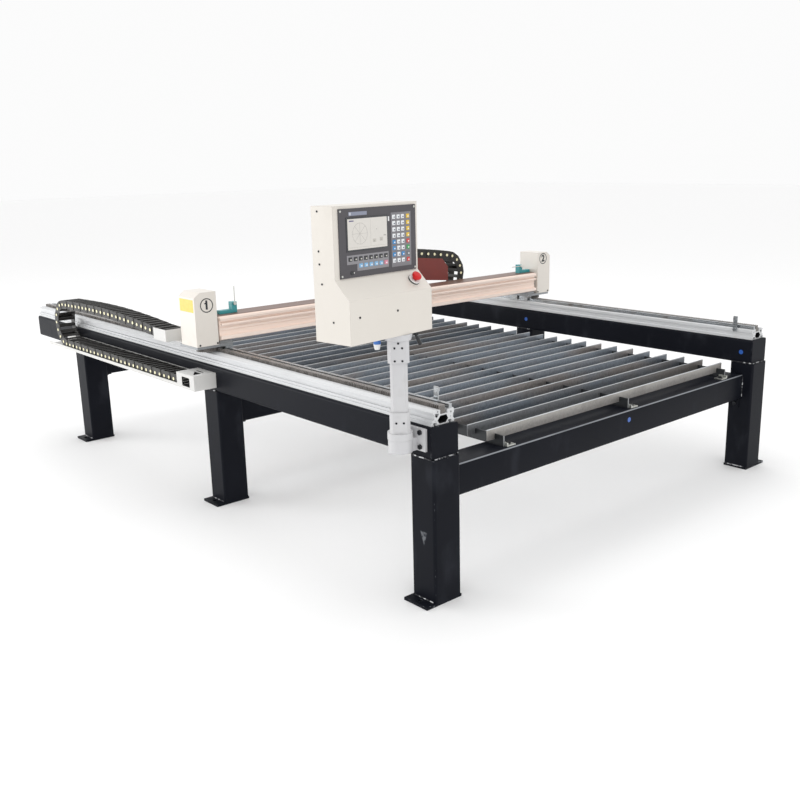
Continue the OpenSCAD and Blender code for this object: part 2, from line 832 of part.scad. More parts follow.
module bearing_blocks() {
    color("#6f7377") both_sides() for (y = [gantry_y, base_back - block_len - base_t / 4])
        along_y([y, y + block_len]) translate([guide_x, guide_z]) block_section(base_bottom - guide_z);
}

// Sheet cover over a drive, open below, with a chamfer along its outer top edge
module cover_outline(inset) {
    x = [inset - cover_overhang, cover_in - inset];
    top = base_top + cover_h - inset;
    polygon([[x[0], base_top - inset], [x[1], base_top - inset], [x[1], top],
        [x[0] + cover_chamfer_w, top], [x[0], top - cover_chamfer_h]]);
}

module cover() {
    color("#e9e7e2") difference() {
        along_y([cover_y, cover_back]) cover_outline(0);
        along_y([cover_y + sheet_t, cover_back - sheet_t]) cover_outline(sheet_t);
    }
}

// A motor stands on its gearbox; the shaft's end is the gearbox's lower face.
gearbox_h_share = 0.35;
gearbox_d_share = 0.96;

module drive_motor(length) {
    gearbox = length * gearbox_h_share;
    cylinder(d = motor_w * gearbox_d_share, h = gearbox);
    translate([-motor_w / 2, -motor_w / 2, gearbox]) cube([motor_w, motor_w, length - gearbox]);
}

module gantry_motors() {
    color("#2f3034") both_sides() translate([pinion_x, pinion_y, base_top]) drive_motor(motor_len);
}

// Outline of a spur gear with a gap towards +X. A tooth has root, pitch and tip points, each a
// radius beyond the pitch circle in modules and a half width as a share of the tooth's pitch.
gear_tooth_shares = [[-1.2, 0.3], [0, 0.25], [0.9, 0.11]];
function gear_tooth(r, m) = [for (p = gear_tooth_shares)
    [r + p[0] * m, p[1] - (p[0] == 0 ? tooth_play / (2 * PI * m) : 0)]];
function gear_outline(teeth, m) =
    let (points = gear_tooth(m * teeth / 2, m))
    [for (i = [0:teeth - 1], k = [-1, -2, -3, 3, 2, 1])
        let (p = points[abs(k) - 1], a = 360 / teeth * (i + tooth_mid_share + sign(k) * p[1]))
        [p[0] * cos(a), p[0] * sin(a)]];

module gantry_pinion() {
    color("#9a9da1") translate([pinion_x, pinion_y, pinion_z]) {
        linear_extrude(pinion_t) polygon(gear_outline(gantry_teeth, rack_module));
        cylinder(d = shaft_d, h = base_top - pinion_z);
    }
}

// Guides and rack along the front of the gantry beam
module beam_guides() {
    color("#5d6064") for (s = x_guide_shares) along_x([beam_x0, beam_x1])
        translate([gantry_y, gantry_z + s * gantry_h]) rotate(90) guide_section();
}

x_rack_depth_share = 0.1;

module beam_rack() {
    color("#7d6a5c") translate([0, gantry_y, x_rack_z]) rotate([90, 0, 0]) linear_extrude(x_rack_h)
        mirror([0, 1]) rack_lengths(beam_x0, beam_x1, x_motor_x, x_rack_depth_share * gantry_h,
            beam_rack_module);
}

// Limit switches on top of the gantry beam, each with a head at its inner end
switch_len_share = 0.52;
switch_w_share = 0.85;
switch_y_share = 0.46;
switch_head_shares = [1.6, 3.1];
switch_len = guide_screw_pitch * switch_len_share;
switch_w = block_w * switch_w_share;
switch_h = guide_h;
head_w = switch_h * switch_head_shares[0];
head_h = switch_h * switch_head_shares[1];
switch_y = gantry_y + gantry_d * switch_y_share;
left_switch_x = beam_x0 + switch_w;
right_switch_x = beam_x1 - switch_len;
// Diameters of the lever's rod and hub, the hub's length and the rod's length
rod_d_share = 0.3;
hub_d_share = 0.9;
hub_t_share = 0.5;
rod_len_share = 1.2;
hub_d = guide_w * hub_d_share;
hub_t = guide_w * hub_t_share;
lever_z = gantry_top + head_h - hub_d / 2;

module switch_body(x, head_x) {
    y = [switch_y - switch_w / 2, switch_y + switch_w / 2];
    bar([x, x + switch_len], y, [gantry_top, gantry_top + switch_h]);
    bar([head_x, head_x + head_w], y, [gantry_top, gantry_top + head_h]);
}

module limit_switches() {
    color("#2e8f93") {
        switch_body(left_switch_x, left_switch_x + switch_len);
        switch_body(right_switch_x, right_switch_x - head_w);
    }
}

// A rod on a hub at the front of the switch's head
module switch_lever(x, turn) {
    y = switch_y - switch_w / 2;
    color("#b9bcbf") translate([x, y, lever_z]) rotate([0, turn, 0]) {
        rotate([90, 0, 0]) cylinder(d = hub_d, h = hub_t);
        translate([0, -hub_t / 2, 0]) cylinder(d = guide_w * rod_d_share, h = switch_len * rod_len_share);
    }
}

module left_switch_lever() {
    switch_lever(left_switch_x + switch_len + head_w / 2, 0);
}

module right_switch_lever() {
    switch_lever(right_switch_x - head_w / 2, -90);
}

// Chain of the carriage

module x_chain(pins) {
    color("#2a2a2d") translate([0, x_chain_y, 0]) rotate([0, 0, -90]) chain(pins, x_chain_w, 0);
}

module x_chain_lower() {
    x_chain(straight_pins([x_fixed_x, x_lower_z], [x_loop_x, x_lower_z], even_count(x_lower_len), 0));
}

module x_chain_loop_lower() {
    x_chain(arc_pins([x_loop_x, x_loop_z], -90, 0, quarter_links));
}

module x_chain_loop_upper() {
    x_chain(arc_pins([x_loop_x, x_loop_z], 0, 90, quarter_links));
}

module x_chain_upper() {
    x_chain(straight_pins([x_loop_x, x_upper_z], [x_upper_x, x_upper_z + notch_play],
        even_count(x_upper_len), x_camber_share * chain_camber));
}

// A trough along the back of the gantry beam carries the chain's lower run.
trough_links = 8;
trough_wall_share = 0.8;

module beam_chain_tray() {
    z = x_lower_z - link_h / 2;
    y = x_chain_y + x_chain_w / 2 + tray_t;
    x = [x_fixed_x - link_pitch, x_loop_x + link_pitch * trough_links];
    wall = link_h * trough_wall_share;
    color("#d9d8d4") {
        bar(x, [gantry_back, y + tray_t], [z - tray_t, z]);
        bar(x, [gantry_back, gantry_back + tray_t], [z, z + wall]);
        bar(x, [y, y + tray_t], [z, z + tray_lip_share * link_h]);
        bar([x[0], x[0] + tray_t], [gantry_back, y + tray_t], [z, z + wall]);
    }
}

// The arm reaches over the beam from the carriage plate to the chain's moving end. Its plate falls
// with the chain towards the bend and has two cut corners.
arm_t_share = 0.6;
arm_corner_share = 0.36;

module chain_arm() {
    t = tray_t * arm_t_share;
    x = [x_upper_x - link_pitch / 2, x_loop_x + tray_t];
    h = arm_h_share * link_h;
    c = arm_corner_share * h;
    fall = arm_droop_share * (x[1] - x[0]);
    z = [arm_end_z + fall, arm_end_z];
    shelf = x_upper_z - link_h / 2;
    color("#7b3b2c") {
        along_y([arm_y, arm_y + t]) polygon([[x[0], z[0] + c], [x[0] + c, z[0] - arm_droop_share * c],
            [x[1], z[1]], [x[1], z[1] + h - c], [x[1] - c, z[1] + h + arm_droop_share * c],
            [x[0], z[0] + h]]);
        bar([carriage_x0, carriage_x1], [plate_front, arm_y], [carriage_z1, carriage_z1 + tray_t]);
        bar([x[0], x[0] + link_pitch], [arm_y, x_chain_y + x_chain_w / 2], [shelf - tray_t, shelf]);
    }
}

// Carriage and torch lifter

module carriage_plate() {
    color("#3a3b40") difference() {
        bar([carriage_x0, carriage_x1], [plate_front, plate_y], [carriage_z0, carriage_z1]);
        rod_y(x_motor_x, [plate_front - cut, plate_y + cut], x_pinion_z, shaft_d + base_t / 2);
    }
}

module carriage_blocks() {
    color("#6f7377") for (x = [carriage_x0, carriage_x1 - block_len], s = x_guide_shares)
        along_x([x, x + block_len]) translate([gantry_y, gantry_z + s * gantry_h])
            rotate(90) block_section(gantry_y - plate_y);
}

// Lengths of the carriage's and the lifter's motors, beside the gantry's
motor_len_shares = [0.8, 0.4];

module carriage_motors() {
    color("#2f3034") {
        translate([x_motor_x, plate_front, x_pinion_z]) rotate([90, 0, 0])
            drive_motor(motor_len * motor_len_shares[0]);
        translate([torch_x, screw_y, lifter_z1]) drive_motor(motor_len * motor_len_shares[1]);
    }
}

module carriage_pinion() {
    near = base_t / 3;
    thick = gantry_y - plate_y - 2 * near;
    color("#9a9da1") translate([x_motor_x, plate_y + near + thick, x_pinion_z]) rotate([90, 0, 0]) {
        rotate(90) linear_extrude(thick) polygon(gear_outline(carriage_teeth, beam_rack_module));
        cylinder(d = shaft_d, h = thick + near + carriage_t);
    }
}

// The lifter's housing is a channel that is open to the front, closed at both ends.
module lifter_housing() {
    x = lifter_w / 2;
    color("#d9d8d4") difference() {
        bar([torch_x - x, torch_x + x], [lifter_front, plate_front], [lifter_z0, lifter_z1]);
        bar([torch_x - x + lifter_wall, torch_x + x - lifter_wall],
            [lifter_front - cut, plate_front - lifter_wall],
            [lifter_z0 + lifter_wall, lifter_z1 - lifter_wall]);
        rod_z(torch_x, screw_y, [lifter_z0 - cut, lifter_z1 + cut], screw_d + 2 * run_gap);
    }
}

module lifter_screw() {
    color("#a5a8ab") rod_z(torch_x, screw_y, [lifter_z0, lifter_z1], screw_d);
}

// The slide runs in the housing on the screw; its arm ends in a ring round the torch.
torch_ring_share = 1.7;

module lifter_slide() {
    x = lifter_w / 2 - lifter_wall - run_gap;
    z = [slide_z1 - slide_h, slide_z1];
    ring_d = torch_d * torch_ring_share;
    color("#8d9195") difference() {
        union() {
            bar([torch_x - x, torch_x + x],
                [lifter_front - slide_t, plate_front - lifter_wall - run_gap], z);
            bar([torch_x - torch_d / 2, torch_x + torch_d / 2], [torch_y, lifter_front],
                [z[0], z[0] + slide_h / 2]);
            rod_z(torch_x, torch_y, [z[0], z[0] + slide_h / 2], ring_d);
        }
        rod_z(torch_x, screw_y, [z[0] - cut, z[1] + cut], screw_d + 2 * run_gap);
        rod_z(torch_x, torch_y, [z[0] - cut, z[1] + cut], torch_d);
    }
}

// Machine torch: a straight body with a shield cup and a nozzle
cup_h_share = 0.28;
tip_h_share = 0.06;
tip_d_shares = [0.3, 0.55];
cup_d_shares = [0.7, 0.9];

module torch() {
    cup = torch_len * cup_h_share;
    tip = torch_len * tip_h_share;
    tip_d = tip_d_shares * torch_d;
    cup_d = cup_d_shares * torch_d;
    color("#35363a") translate([torch_x, torch_y, torch_z]) {
        cylinder(d1 = tip_d[0], d2 = tip_d[1], h = tip);
        translate([0, 0, tip]) cylinder(d1 = cup_d[0], d2 = cup_d[1], h = cup - tip);
        translate([0, 0, cup]) cylinder(d = torch_d, h = torch_len - cup);
    }
}

// Console and post

post_chamfer_share = 0.16;

module chamfered_square(w) {
    c = w * post_chamfer_share;
    h = w / 2;
    polygon([[-h, c - h], [c - h, -h], [h - c, -h], [h, c - h],
        [h, h - c], [h - c, h], [c - h, h], [-h, h - c]]);
}

post_turn = -40;
post_bore_share = 0.62;
// Width of the base's web beside its tube, and widths of the ring and the sleeves
base_web_share = 0.7;
ring_d_share = 1.04;
sleeve_w_shares = [1.18, 1.23];

// The post: a flanged base on the side beam, a ring, two sleeves and a square tube with a cable way
module post() {
    web = base_d * base_web_share / 2;
    color("#e4e3df") {
        bar([-flange_t, 0], [post_y - flange_w / 2, post_y + flange_w / 2], [post_z0, post_z0 + flange_h]);
        bar([post_x, -flange_t], [post_y - web, post_y + web], [post_z0, post_ring_z]);
        rod_z(post_x, post_y, [post_z0, post_ring_z], base_d);
        rod_z(post_x, post_y, [post_ring_z, sleeve_z], base_d * ring_d_share);
        difference() {
            translate([post_x, post_y, 0]) rotate(post_turn) {
                translate([0, 0, sleeve_z]) linear_extrude(sleeve_top - sleeve_z)
                    chamfered_square(post_w * sleeve_w_shares[0]);
                translate([0, 0, sleeve_top]) linear_extrude(collar_z - sleeve_top) chamfered_square(post_w);
                translate([0, 0, collar_z]) linear_extrude(neck_z - collar_z)
                    chamfered_square(post_w * sleeve_w_shares[1]);
            }
            rod_z(post_x, post_y, [sleeve_z + cut, neck_z + cut], post_w * post_bore_share);
        }
    }
}

module console_frame() {
    translate([post_x, post_y, console_z]) rotate(console_yaw)
        translate([-console_post_u_share * console_w, -console_post_v_share * console_d, 0]) children();
}

// The neck turns in the post's upper sleeve and flares out under the console.
neck_d_shares = [1.5, 1.66];

module console_neck() {
    spigot = post_w * post_bore_share - 2 * run_gap;
    color("#e4e3df") translate([post_x, post_y, 0]) {
        translate([0, 0, neck_z])
            cylinder(d1 = post_w * neck_d_shares[0], d2 = post_w * neck_d_shares[1], h = console_z - neck_z);
        translate([0, 0, neck_z - post_w]) cylinder(d = spigot, h = post_w);
    }
}

// A handle under the console that locks its turn
lever_u_share = 0.905;
lever_slant = 32;
lever_boss_share = 0.32;
lever_len_share = 0.68;
lever_d_shares = [0.5, 0.75];

module clamp_lever() {
    boss = post_w * lever_boss_share;
    grip_d = lever_d_shares * boss;
    color("#202124") console_frame()
        translate([lever_u_share * console_w, console_post_v_share * console_d, -boss]) {
            cylinder(d = boss, h = boss);
            rotate([0, 180 - lever_slant, 0])
                cylinder(d1 = grip_d[0], d2 = grip_d[1], h = post_w * lever_len_share);
        }
}

// Side outline of the console: depth and height
console_bevel_share = 0.4;

module console_outline(inset) {
    bevel = inset * console_bevel_share;
    polygon([[inset, inset], [inset, console_low_h - bevel],
        [console_step + inset, console_front_top - bevel],
        [console_step + inset, console_h - inset], [console_d - inset, console_h - inset],
        [console_d - inset, inset]]);
}

panel_u_shares = [0.055, 0.973];
panel_margin_shares = [1, 4.5];
panel_z = [console_front_top + panel_margin_shares[0] * sheet_t,
    console_h - panel_margin_shares[1] * sheet_t];
panel_frame_share = 0.05;

module console_box() {
    margin = panel_frame_share * console_w;
    color("#eceae5") console_frame() difference() {
        along_x([0, console_w]) console_outline(0);
        along_x([sheet_t, console_w - sheet_t]) console_outline(sheet_t);
        bar([panel_u_shares[0] * console_w + margin, panel_u_shares[1] * console_w - margin],
            [console_step - cut, console_step + sheet_t + cut], [panel_z[0] + margin, panel_z[1] - margin]);
    }
}

module control_panel() {
    color("#3c4046") console_frame()
        bar(panel_u_shares * console_w, [console_step - panel_t, console_step], panel_z);
}

screen_u_shares = [0.148, 0.607];
screen_z_shares = [0.678, 0.902];

module panel_screen() {
    color("#dfe6ee") console_frame() bar(screen_u_shares * console_w,
        [console_step - panel_t - sheet_t / 2, console_step - panel_t], screen_z_shares * console_h);
}

// Keys stand proud of the panel: a block of four columns, and two rows below the screen.
key_w_share = 0.038;
key_h_share = 0.028;
key_w = console_w * key_w_share;
key_h = console_h * key_h_share;
keypad_u_shares = [0.675, 0.90];
keypad_z_shares = [0.52, 0.885];
row_u_shares = [0.152, 0.565];
row_z_shares = [0.612, 0.548];
keypad_columns = 4;
keypad_rows = 8;
row_keys = 8;

module key(u, z) {
    bar([u, u + key_w], [console_step - panel_t - sheet_t, console_step - panel_t], [z, z + key_h]);
}

function spread(range, i, n) = range[0] + (range[1] - range[0]) * i / (n - 1);

module panel_keys() {
    color("#d9dde2") console_frame() {
        for (c = [0:keypad_columns - 1], r = [0:keypad_rows - 1])
            key(spread(keypad_u_shares, c, keypad_columns) * console_w,
                spread(keypad_z_shares, r, keypad_rows) * console_h);
        for (r = [0, 1], i = [2 * r:row_keys - 1])
            key(spread(row_u_shares, i, row_keys) * console_w, row_z_shares[r] * console_h);
    }
}

// Emergency stop on the sloped shelf
stop_u_share = 0.855;
stop_collar_h_share = 0.25;
stop_collar_d_share = 1.25;
stop_stem_share = 0.5;
// Heights of the head's lower and upper cones, and its diameters below and above
stop_head_h_shares = [0.18, 0.22];
stop_head_d_shares = [0.8, 0.7];
stop_collar_h = stop_d * stop_collar_h_share;
stop_stem_d = stop_d * stop_stem_share;

module stop_frame() {
    console_frame()
        translate([stop_u_share * console_w, console_step / 2, console_low_h + console_slope_h / 2])
        rotate([stop_slope, 0, 0]) children();
}

module emergency_stop_collar() {
    color("#d8d9d6") stop_frame() difference() {
        cylinder(d = stop_d * stop_collar_d_share, h = stop_collar_h);
        translate([0, 0, cut]) cylinder(d = stop_stem_d + 2 * run_gap, h = stop_collar_h);
    }
}

module emergency_stop_button() {
    head = stop_collar_h + stop_press + cut;
    stem_z = stop_press + cut + run_gap;
    h = stop_head_h_shares * stop_d;
    d = stop_head_d_shares * stop_d;
    color("#c8201d") stop_frame() {
        translate([0, 0, stem_z]) cylinder(d = stop_stem_d, h = head + cut / 2 - stem_z);
        translate([0, 0, head]) cylinder(d1 = d[0], d2 = stop_d, h = h[0]);
        translate([0, 0, head + h[0]]) cylinder(d1 = stop_d, d2 = d[1], h = h[1]);
    }
}

// Cable gland under the console, beside the neck
gland_u_share = 0.545;
gland_v_share = 0.585;
gland_d_share = 0.41;
// Width and height of the hexagon, length of the body, length and end diameter of the cone below
gland_hex_shares = [1.2, 0.4];
gland_body_share = 1.5;
gland_cone_shares = [0.7, 0.7];

module cable_gland() {
    d = post_w * gland_d_share;
    body = d * gland_body_share;
    hex = gland_hex_shares * d;
    cone = gland_cone_shares * d;
    color("#4d7fc4") console_frame() translate([gland_u_share * console_w, gland_v_share * console_d, 0])
        mirror([0, 0, 1]) {
            cylinder(d = hex[0], h = hex[1], $fn = 6);
            cylinder(d = d, h = body);
            translate([0, 0, body]) cylinder(d1 = d, d2 = cone[1], h = cone[0]);
        }
}

// Screws in the console's left side, as shares of its depth and height, in its lower front and panel
side_screw_shares = [[0.82, 0.962], [0.82, 0.675], [0.81, 0.58], [0.76, 0.435], [0.47, 0.16]];
front_screw_shares = [[0.11, 0.2], [0.56, 0.2]];
screw_head_share = 3.5;
screw_head_d = sheet_t * screw_head_share;

module console_screws() {
    color("#8f9296") console_frame() {
        for (p = side_screw_shares) rod_x([-sheet_t, 0], p[0] * console_d, p[1] * console_h, screw_head_d);
        for (p = front_screw_shares) rod_y(p[0] * console_w, [-sheet_t, 0], p[1] * console_h, screw_head_d);
        for (u = [0, 1], z = [0, 1]) {
            inset = screw_head_d;
            rod_y(panel_u_shares[u] * console_w + (1 - 2 * u) * inset,
                [console_step - panel_t - sheet_t / 2, console_step - panel_t],
                panel_z[z] + (1 - 2 * z) * inset, screw_head_d);
        }
    }
}

part_frame() legs();
part_frame() side_beams();
part_frame() beam_end_caps();
part_frame() cross_beam(0);  // front_cross_beam
part_frame() cross_beam(mid_leg_y);  // middle_cross_beam
part_frame() cross_beam(rear_leg_y);  // rear_cross_beam
part_frame() cross_beam_angles();
part_frame() frame_bolts();
part_frame() slats();
part_frame() slat_supports();
part_frame() support_clips();
part_frame() rails();
part_frame() rail_guides();
part_frame() rail_racks();
part_frame() rail_stops();
part_frame() chain_tray();
part_frame() chain_anchor();
part_frame() y_chain_lower();
part_frame() y_chain_loop_lower();
part_frame() y_chain_loop_upper();
part_frame() y_chain_upper();
part_frame() chain_holder();
part_frame() gantry_beam();
part_frame() end_bases();
part_frame() bearing_blocks();
part_frame() cover();  // left_cover
part_frame() on_right() cover();  // right_cover
part_frame() gantry_motors();
part_frame() gantry_pinion();  // left_pinion
part_frame() on_right() gantry_pinion();  // right_pinion
part_frame() beam_guides();
part_frame() beam_rack();
part_frame() limit_switches();
part_frame() left_switch_lever();
part_frame() right_switch_lever();
part_frame() beam_chain_tray();
part_frame() x_chain_lower();
part_frame() x_chain_loop_lower();
part_frame() x_chain_loop_upper();
part_frame() x_chain_upper();
part_frame() chain_arm();
part_frame() carriage_plate();
part_frame() carriage_blocks();
part_frame() carriage_motors();
part_frame() carriage_pinion();
part_frame() lifter_housing();
part_frame() lifter_screw();
part_frame() lifter_slide();
part_frame() torch();
part_frame() post();
part_frame() console_neck();
part_frame() clamp_lever();
part_frame() console_box();
part_frame() control_panel();
part_frame() panel_screen();
part_frame() panel_keys();
part_frame() emergency_stop_collar();
part_frame() emergency_stop_button();
part_frame() cable_gland();
part_frame() console_screws();
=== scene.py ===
import math

import bmesh
import bpy
from mathutils import Matrix, Vector


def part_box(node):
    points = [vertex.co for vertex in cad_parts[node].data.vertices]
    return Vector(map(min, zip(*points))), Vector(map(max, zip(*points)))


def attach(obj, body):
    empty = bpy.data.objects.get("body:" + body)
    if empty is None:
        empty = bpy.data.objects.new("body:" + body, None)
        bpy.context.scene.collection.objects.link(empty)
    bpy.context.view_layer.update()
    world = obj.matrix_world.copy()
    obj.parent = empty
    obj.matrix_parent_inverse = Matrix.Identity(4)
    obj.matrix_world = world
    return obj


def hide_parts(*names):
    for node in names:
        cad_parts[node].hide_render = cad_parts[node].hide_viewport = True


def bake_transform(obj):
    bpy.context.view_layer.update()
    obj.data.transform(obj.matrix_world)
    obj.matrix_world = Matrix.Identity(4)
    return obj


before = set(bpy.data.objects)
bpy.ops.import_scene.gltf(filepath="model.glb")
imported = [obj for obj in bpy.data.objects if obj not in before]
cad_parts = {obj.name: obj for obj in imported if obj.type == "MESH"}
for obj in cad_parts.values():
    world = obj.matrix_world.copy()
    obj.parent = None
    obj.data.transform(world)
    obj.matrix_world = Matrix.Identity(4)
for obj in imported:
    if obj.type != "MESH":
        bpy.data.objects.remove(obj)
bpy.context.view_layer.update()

# Camera. It stands in front of the table's left corner at about the height of the console and
# looks across the bed to the far leg. Its place and turn come from the photograph's straight edges.
azimuth, elevation, roll = (math.radians(a) for a in (-42.04, -14.47, -1.04))
look = Vector((-math.sin(azimuth) * math.cos(elevation),
               math.cos(azimuth) * math.cos(elevation),
               math.sin(elevation)))
level = Vector((math.cos(azimuth), math.sin(azimuth), 0))
above = level.cross(look)
right = math.cos(roll) * level + math.sin(roll) * above
up = math.cos(roll) * above - math.sin(roll) * level
camera = bpy.data.objects.new("camera", bpy.data.cameras.new("camera"))
camera.data.sensor_width = 36
camera.data.lens = 42.12
camera.data.shift_x = -0.0289
camera.data.shift_y = 0.00095
eye = (-2.87469, -3.7724, 1.45086)
camera.matrix_world = Matrix.Translation(eye) @ Matrix((right, up, -look)).transposed().to_4x4()
bpy.context.scene.collection.objects.link(camera)
bpy.context.scene.camera = camera

# Studio. A pale floor without an edge in the picture, a bright room, and three large soft lamps: one
# low behind the left side, which the left faces mirror, one high over the bed and a weak one in front.
bpy.context.scene.view_settings.view_transform = "Standard"
bm = bmesh.new()
bmesh.ops.create_grid(bm, x_segments=1, y_segments=1, size=40)
floor_mesh = bpy.data.meshes.new("floor")
bm.to_mesh(floor_mesh)
bm.free()
floor = bpy.data.objects.new("floor", floor_mesh)
floor_paint = bpy.data.materials.new("floor_paint")
floor_paint.use_nodes = True
floor_shader = floor_paint.node_tree.nodes["Principled BSDF"]
floor_shader.inputs["Base Color"].default_value = (0.98, 0.98, 0.98, 1)
floor_shader.inputs["Roughness"].default_value = 0.75
floor_mesh.materials.append(floor_paint)
bpy.context.scene.collection.objects.link(floor)

room = bpy.data.worlds.new("room")
room.use_nodes = True
room.node_tree.nodes["Background"].inputs["Color"].default_value = (1, 1, 1, 1)
room.node_tree.nodes["Background"].inputs["Strength"].default_value = 0.97
bpy.context.scene.world = room

for name, spot, aim, size, power in (
        ("lamp_side", (-6.0, 6.0, 1.6), (-0.6, 0, 0.5), 3.2, 190),
        ("lamp_over", (0.5, 0.5, 5.5), (0, 0, 0), 5.0, 80),
        ("lamp_front", (-3.5, -6.0, 5.0), (0, 0, 0.6), 3.0, 30)):
    lamp = bpy.data.objects.new(name, bpy.data.lights.new(name, "AREA"))
    lamp.data.size = size
    lamp.data.energy = power
    turn = (Vector(aim) - Vector(spot)).to_track_quat("-Z", "Y")
    lamp.matrix_world = Matrix.Translation(spot) @ turn.to_matrix().to_4x4()
    bpy.context.scene.collection.objects.link(lamp)


# Table frame. Legs, side beams, end caps and cross beams are square and flat steel tube, welded and
# sprayed charcoal; the paint has a fine orange peel, dust rubbed into it, bare steel on worn edges and a
# scuff on the near leg. A light line along the front cross beam's top front edge is partly worn steel and
# partly a painted highlight.
class Sock:
    """One socket of a material. Sums and products of it add Math nodes; make() adds any other node."""

    def __init__(self, socket):
        self.socket = socket

    def make(self, kind, settings, values, out=0):
        tree = self.socket.id_data
        node = tree.nodes.new(kind)
        for name, value in settings.items():
            setattr(node, name, value)
        for name, value in values.items():
            if isinstance(value, Sock):
                tree.links.new(value.socket, node.inputs[name])
            else:
                node.inputs[name].default_value = value
        return Sock(node.outputs[out])

    def math(self, operation, *terms):
        return self.make("ShaderNodeMath", {"operation": operation}, dict(enumerate(terms)))

    def __add__(self, other):
        return self.math("ADD", self, other)

    def __sub__(self, other):
        return self.math("SUBTRACT", self, other)

    def __rsub__(self, other):
        return self.math("SUBTRACT", other, self)

    def __mul__(self, other):
        return self.math("MULTIPLY", self, other)

    __radd__ = __add__
    __rmul__ = __mul__

    def step(self, low, high):
        """0 below low and 1 above high, smooth between them."""
        smooth = {"interpolation_type": "SMOOTHSTEP"}
        return self.make("ShaderNodeMapRange", smooth, {0: self, 1: low, 2: high})

    def within(self, low, high, blur):
        """1 between low and high and 0 outside them, with the blur inside the range."""
        return self.step(low, low + blur) * (1 - self.step(high - blur, high))

    def mix(self, a, b):
        """Colour a where this value is 0, colour b where it is 1."""
        return self.make("ShaderNodeMix", {"data_type": "RGBA"}, {0: self, 6: a, 7: b}, out=2)

    def axis(self, i):
        return self.make("ShaderNodeSeparateXYZ", {}, {"Vector": self}, out=i)

    def noise(self, scale, detail=2.0, stretch=(1, 1, 1)):
        at = self.make("ShaderNodeMapping", {}, {"Vector": self, "Scale": stretch})
        return at.make("ShaderNodeTexNoise", {}, {"Vector": at, "Scale": scale, "Detail": detail})

    def cells(self, scale):
        """A random value for each cell of a crystal pattern."""
        return self.make("ShaderNodeTexVoronoi", {}, {"Vector": self, "Scale": scale}, out=1).axis(0)

    def edges(self, width):
        """1 along the sharp edges of a piece, 0 on its faces."""
        soft = self.make("ShaderNodeBevel", {"samples": 4}, {"Radius": width})
        flat = self.make("ShaderNodeNewGeometry", {}, {}, out=1)
        same = self.make("ShaderNodeVectorMath", {"operation": "DOT_PRODUCT"}, {0: soft, 1: flat}, out=1)
        return (1 - same).step(0.03, 0.25)

    def relief(self, height, depth, rounding):
        """Edges that look rounded, under a relief of the given depth in metres."""
        soft = self.make("ShaderNodeBevel", {"samples": 4}, {"Radius": rounding})
        return soft.make("ShaderNodeBump", {}, {"Height": height, "Distance": depth, "Normal": soft})


def material(name, values):
    """A new material with constants on its shader; returns it, its shader and its Object coordinates."""
    new = bpy.data.materials.new(name)
    new.use_nodes = True
    shader = new.node_tree.nodes["Principled BSDF"]
    for socket, value in values.items():
        shader.inputs[socket].default_value = value
    return new, shader, Sock(new.node_tree.nodes.new("ShaderNodeTexCoord").outputs["Object"])


def dress(shader, values):
    """Links values that change over the surface to a shader."""
    for socket, value in values.items():
        shader.id_data.links.new(value.socket, shader.inputs[socket])


def tone(code):
    """A web colour as the linear light that a shader takes."""
    parts = [int(code[i:i + 2], 16) / 255 for i in (1, 3, 5)]
    return tuple(c / 12.92 if c < 0.04045 else ((c + 0.055) / 1.055) ** 2.4 for c in parts) + (1,)


def coat(finish, *nodes):
    """Gives CAD nodes a material."""
    for node in nodes:
        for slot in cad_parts[node].material_slots:
            slot.material = finish


frame_paint, shader, at = material("frame_paint", {"Specular IOR Level": 0.07})
cloud = at.noise(2.6, 5)
dust = at.noise(11, 7, (1, 1, 0.5)).step(0.54, 0.78)
low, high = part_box("side_beams")
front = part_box("legs")[0].y
skin, rub_from, rub_blur = 0.001, 0.002, 0.0025
worn = ((1 - at.axis(0).within(low.x + rub_from, high.x - rub_from, rub_blur))
        * (1 - at.axis(1).step(front + rub_from, front + rub_from + rub_blur)))
# Painted highlight: a light line along the front cross beam's top front edge, partly worn steel and partly
# the glint of its rounded corner.
lip_low, lip_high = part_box("front_cross_beam")
lip_reach, lip_blur = 0.0048, 0.0012
lip_wear_and_highlight = (at.axis(0).within(lip_low.x + skin, lip_high.x - skin, 3 * skin)
       * at.axis(1).within(lip_low.y - 2 * lip_blur, lip_low.y + lip_reach, lip_blur)
       * at.axis(2).within(lip_high.z - lip_reach, lip_high.z + 2 * lip_blur, lip_blur))
scuff_tip, scuff_top, scuff_y, scuff_spread, scuff_blur = 0.200, 0.256, front + 0.054, 0.36, 0.006
reach = (at.axis(2) - scuff_tip) * scuff_spread - at.math("ABSOLUTE", at.axis(1) - scuff_y)
scuff = (reach.step(0, scuff_blur) * (1 - at.axis(2).step(scuff_top - scuff_blur, scuff_top))
         * (1 - at.axis(0).step(low.x + skin, low.x + 2 * skin)))
chips_and_highlight = ((at.edges(0.004) + worn) * at.noise(60, 5).step(0.55, 0.68)
         + lip_wear_and_highlight * (at.noise(6, 4).step(0.25, 0.5) * 0.6 + 0.7)
         + scuff * (at.noise(90, 4).step(0.35, 0.6) * 0.6 + 0.15))
grey = cloud.mix(tone("#0f1116"), tone("#191b23"))
dress(shader, {
    "Base Color": (chips_and_highlight * 0.75).mix((dust * 0.12).mix(grey, tone("#5c5f67")), tone("#8b8e93")),
    "Roughness": cloud * 0.16 + dust * 0.2 + 0.32,
    "Normal": at.relief(at.noise(700, 2), 0.00012, 0.0025)})
coat(frame_paint, "legs", "side_beams", "beam_end_caps", "front_cross_beam", "middle_cross_beam",
     "rear_cross_beam", "cross_beam_angles")

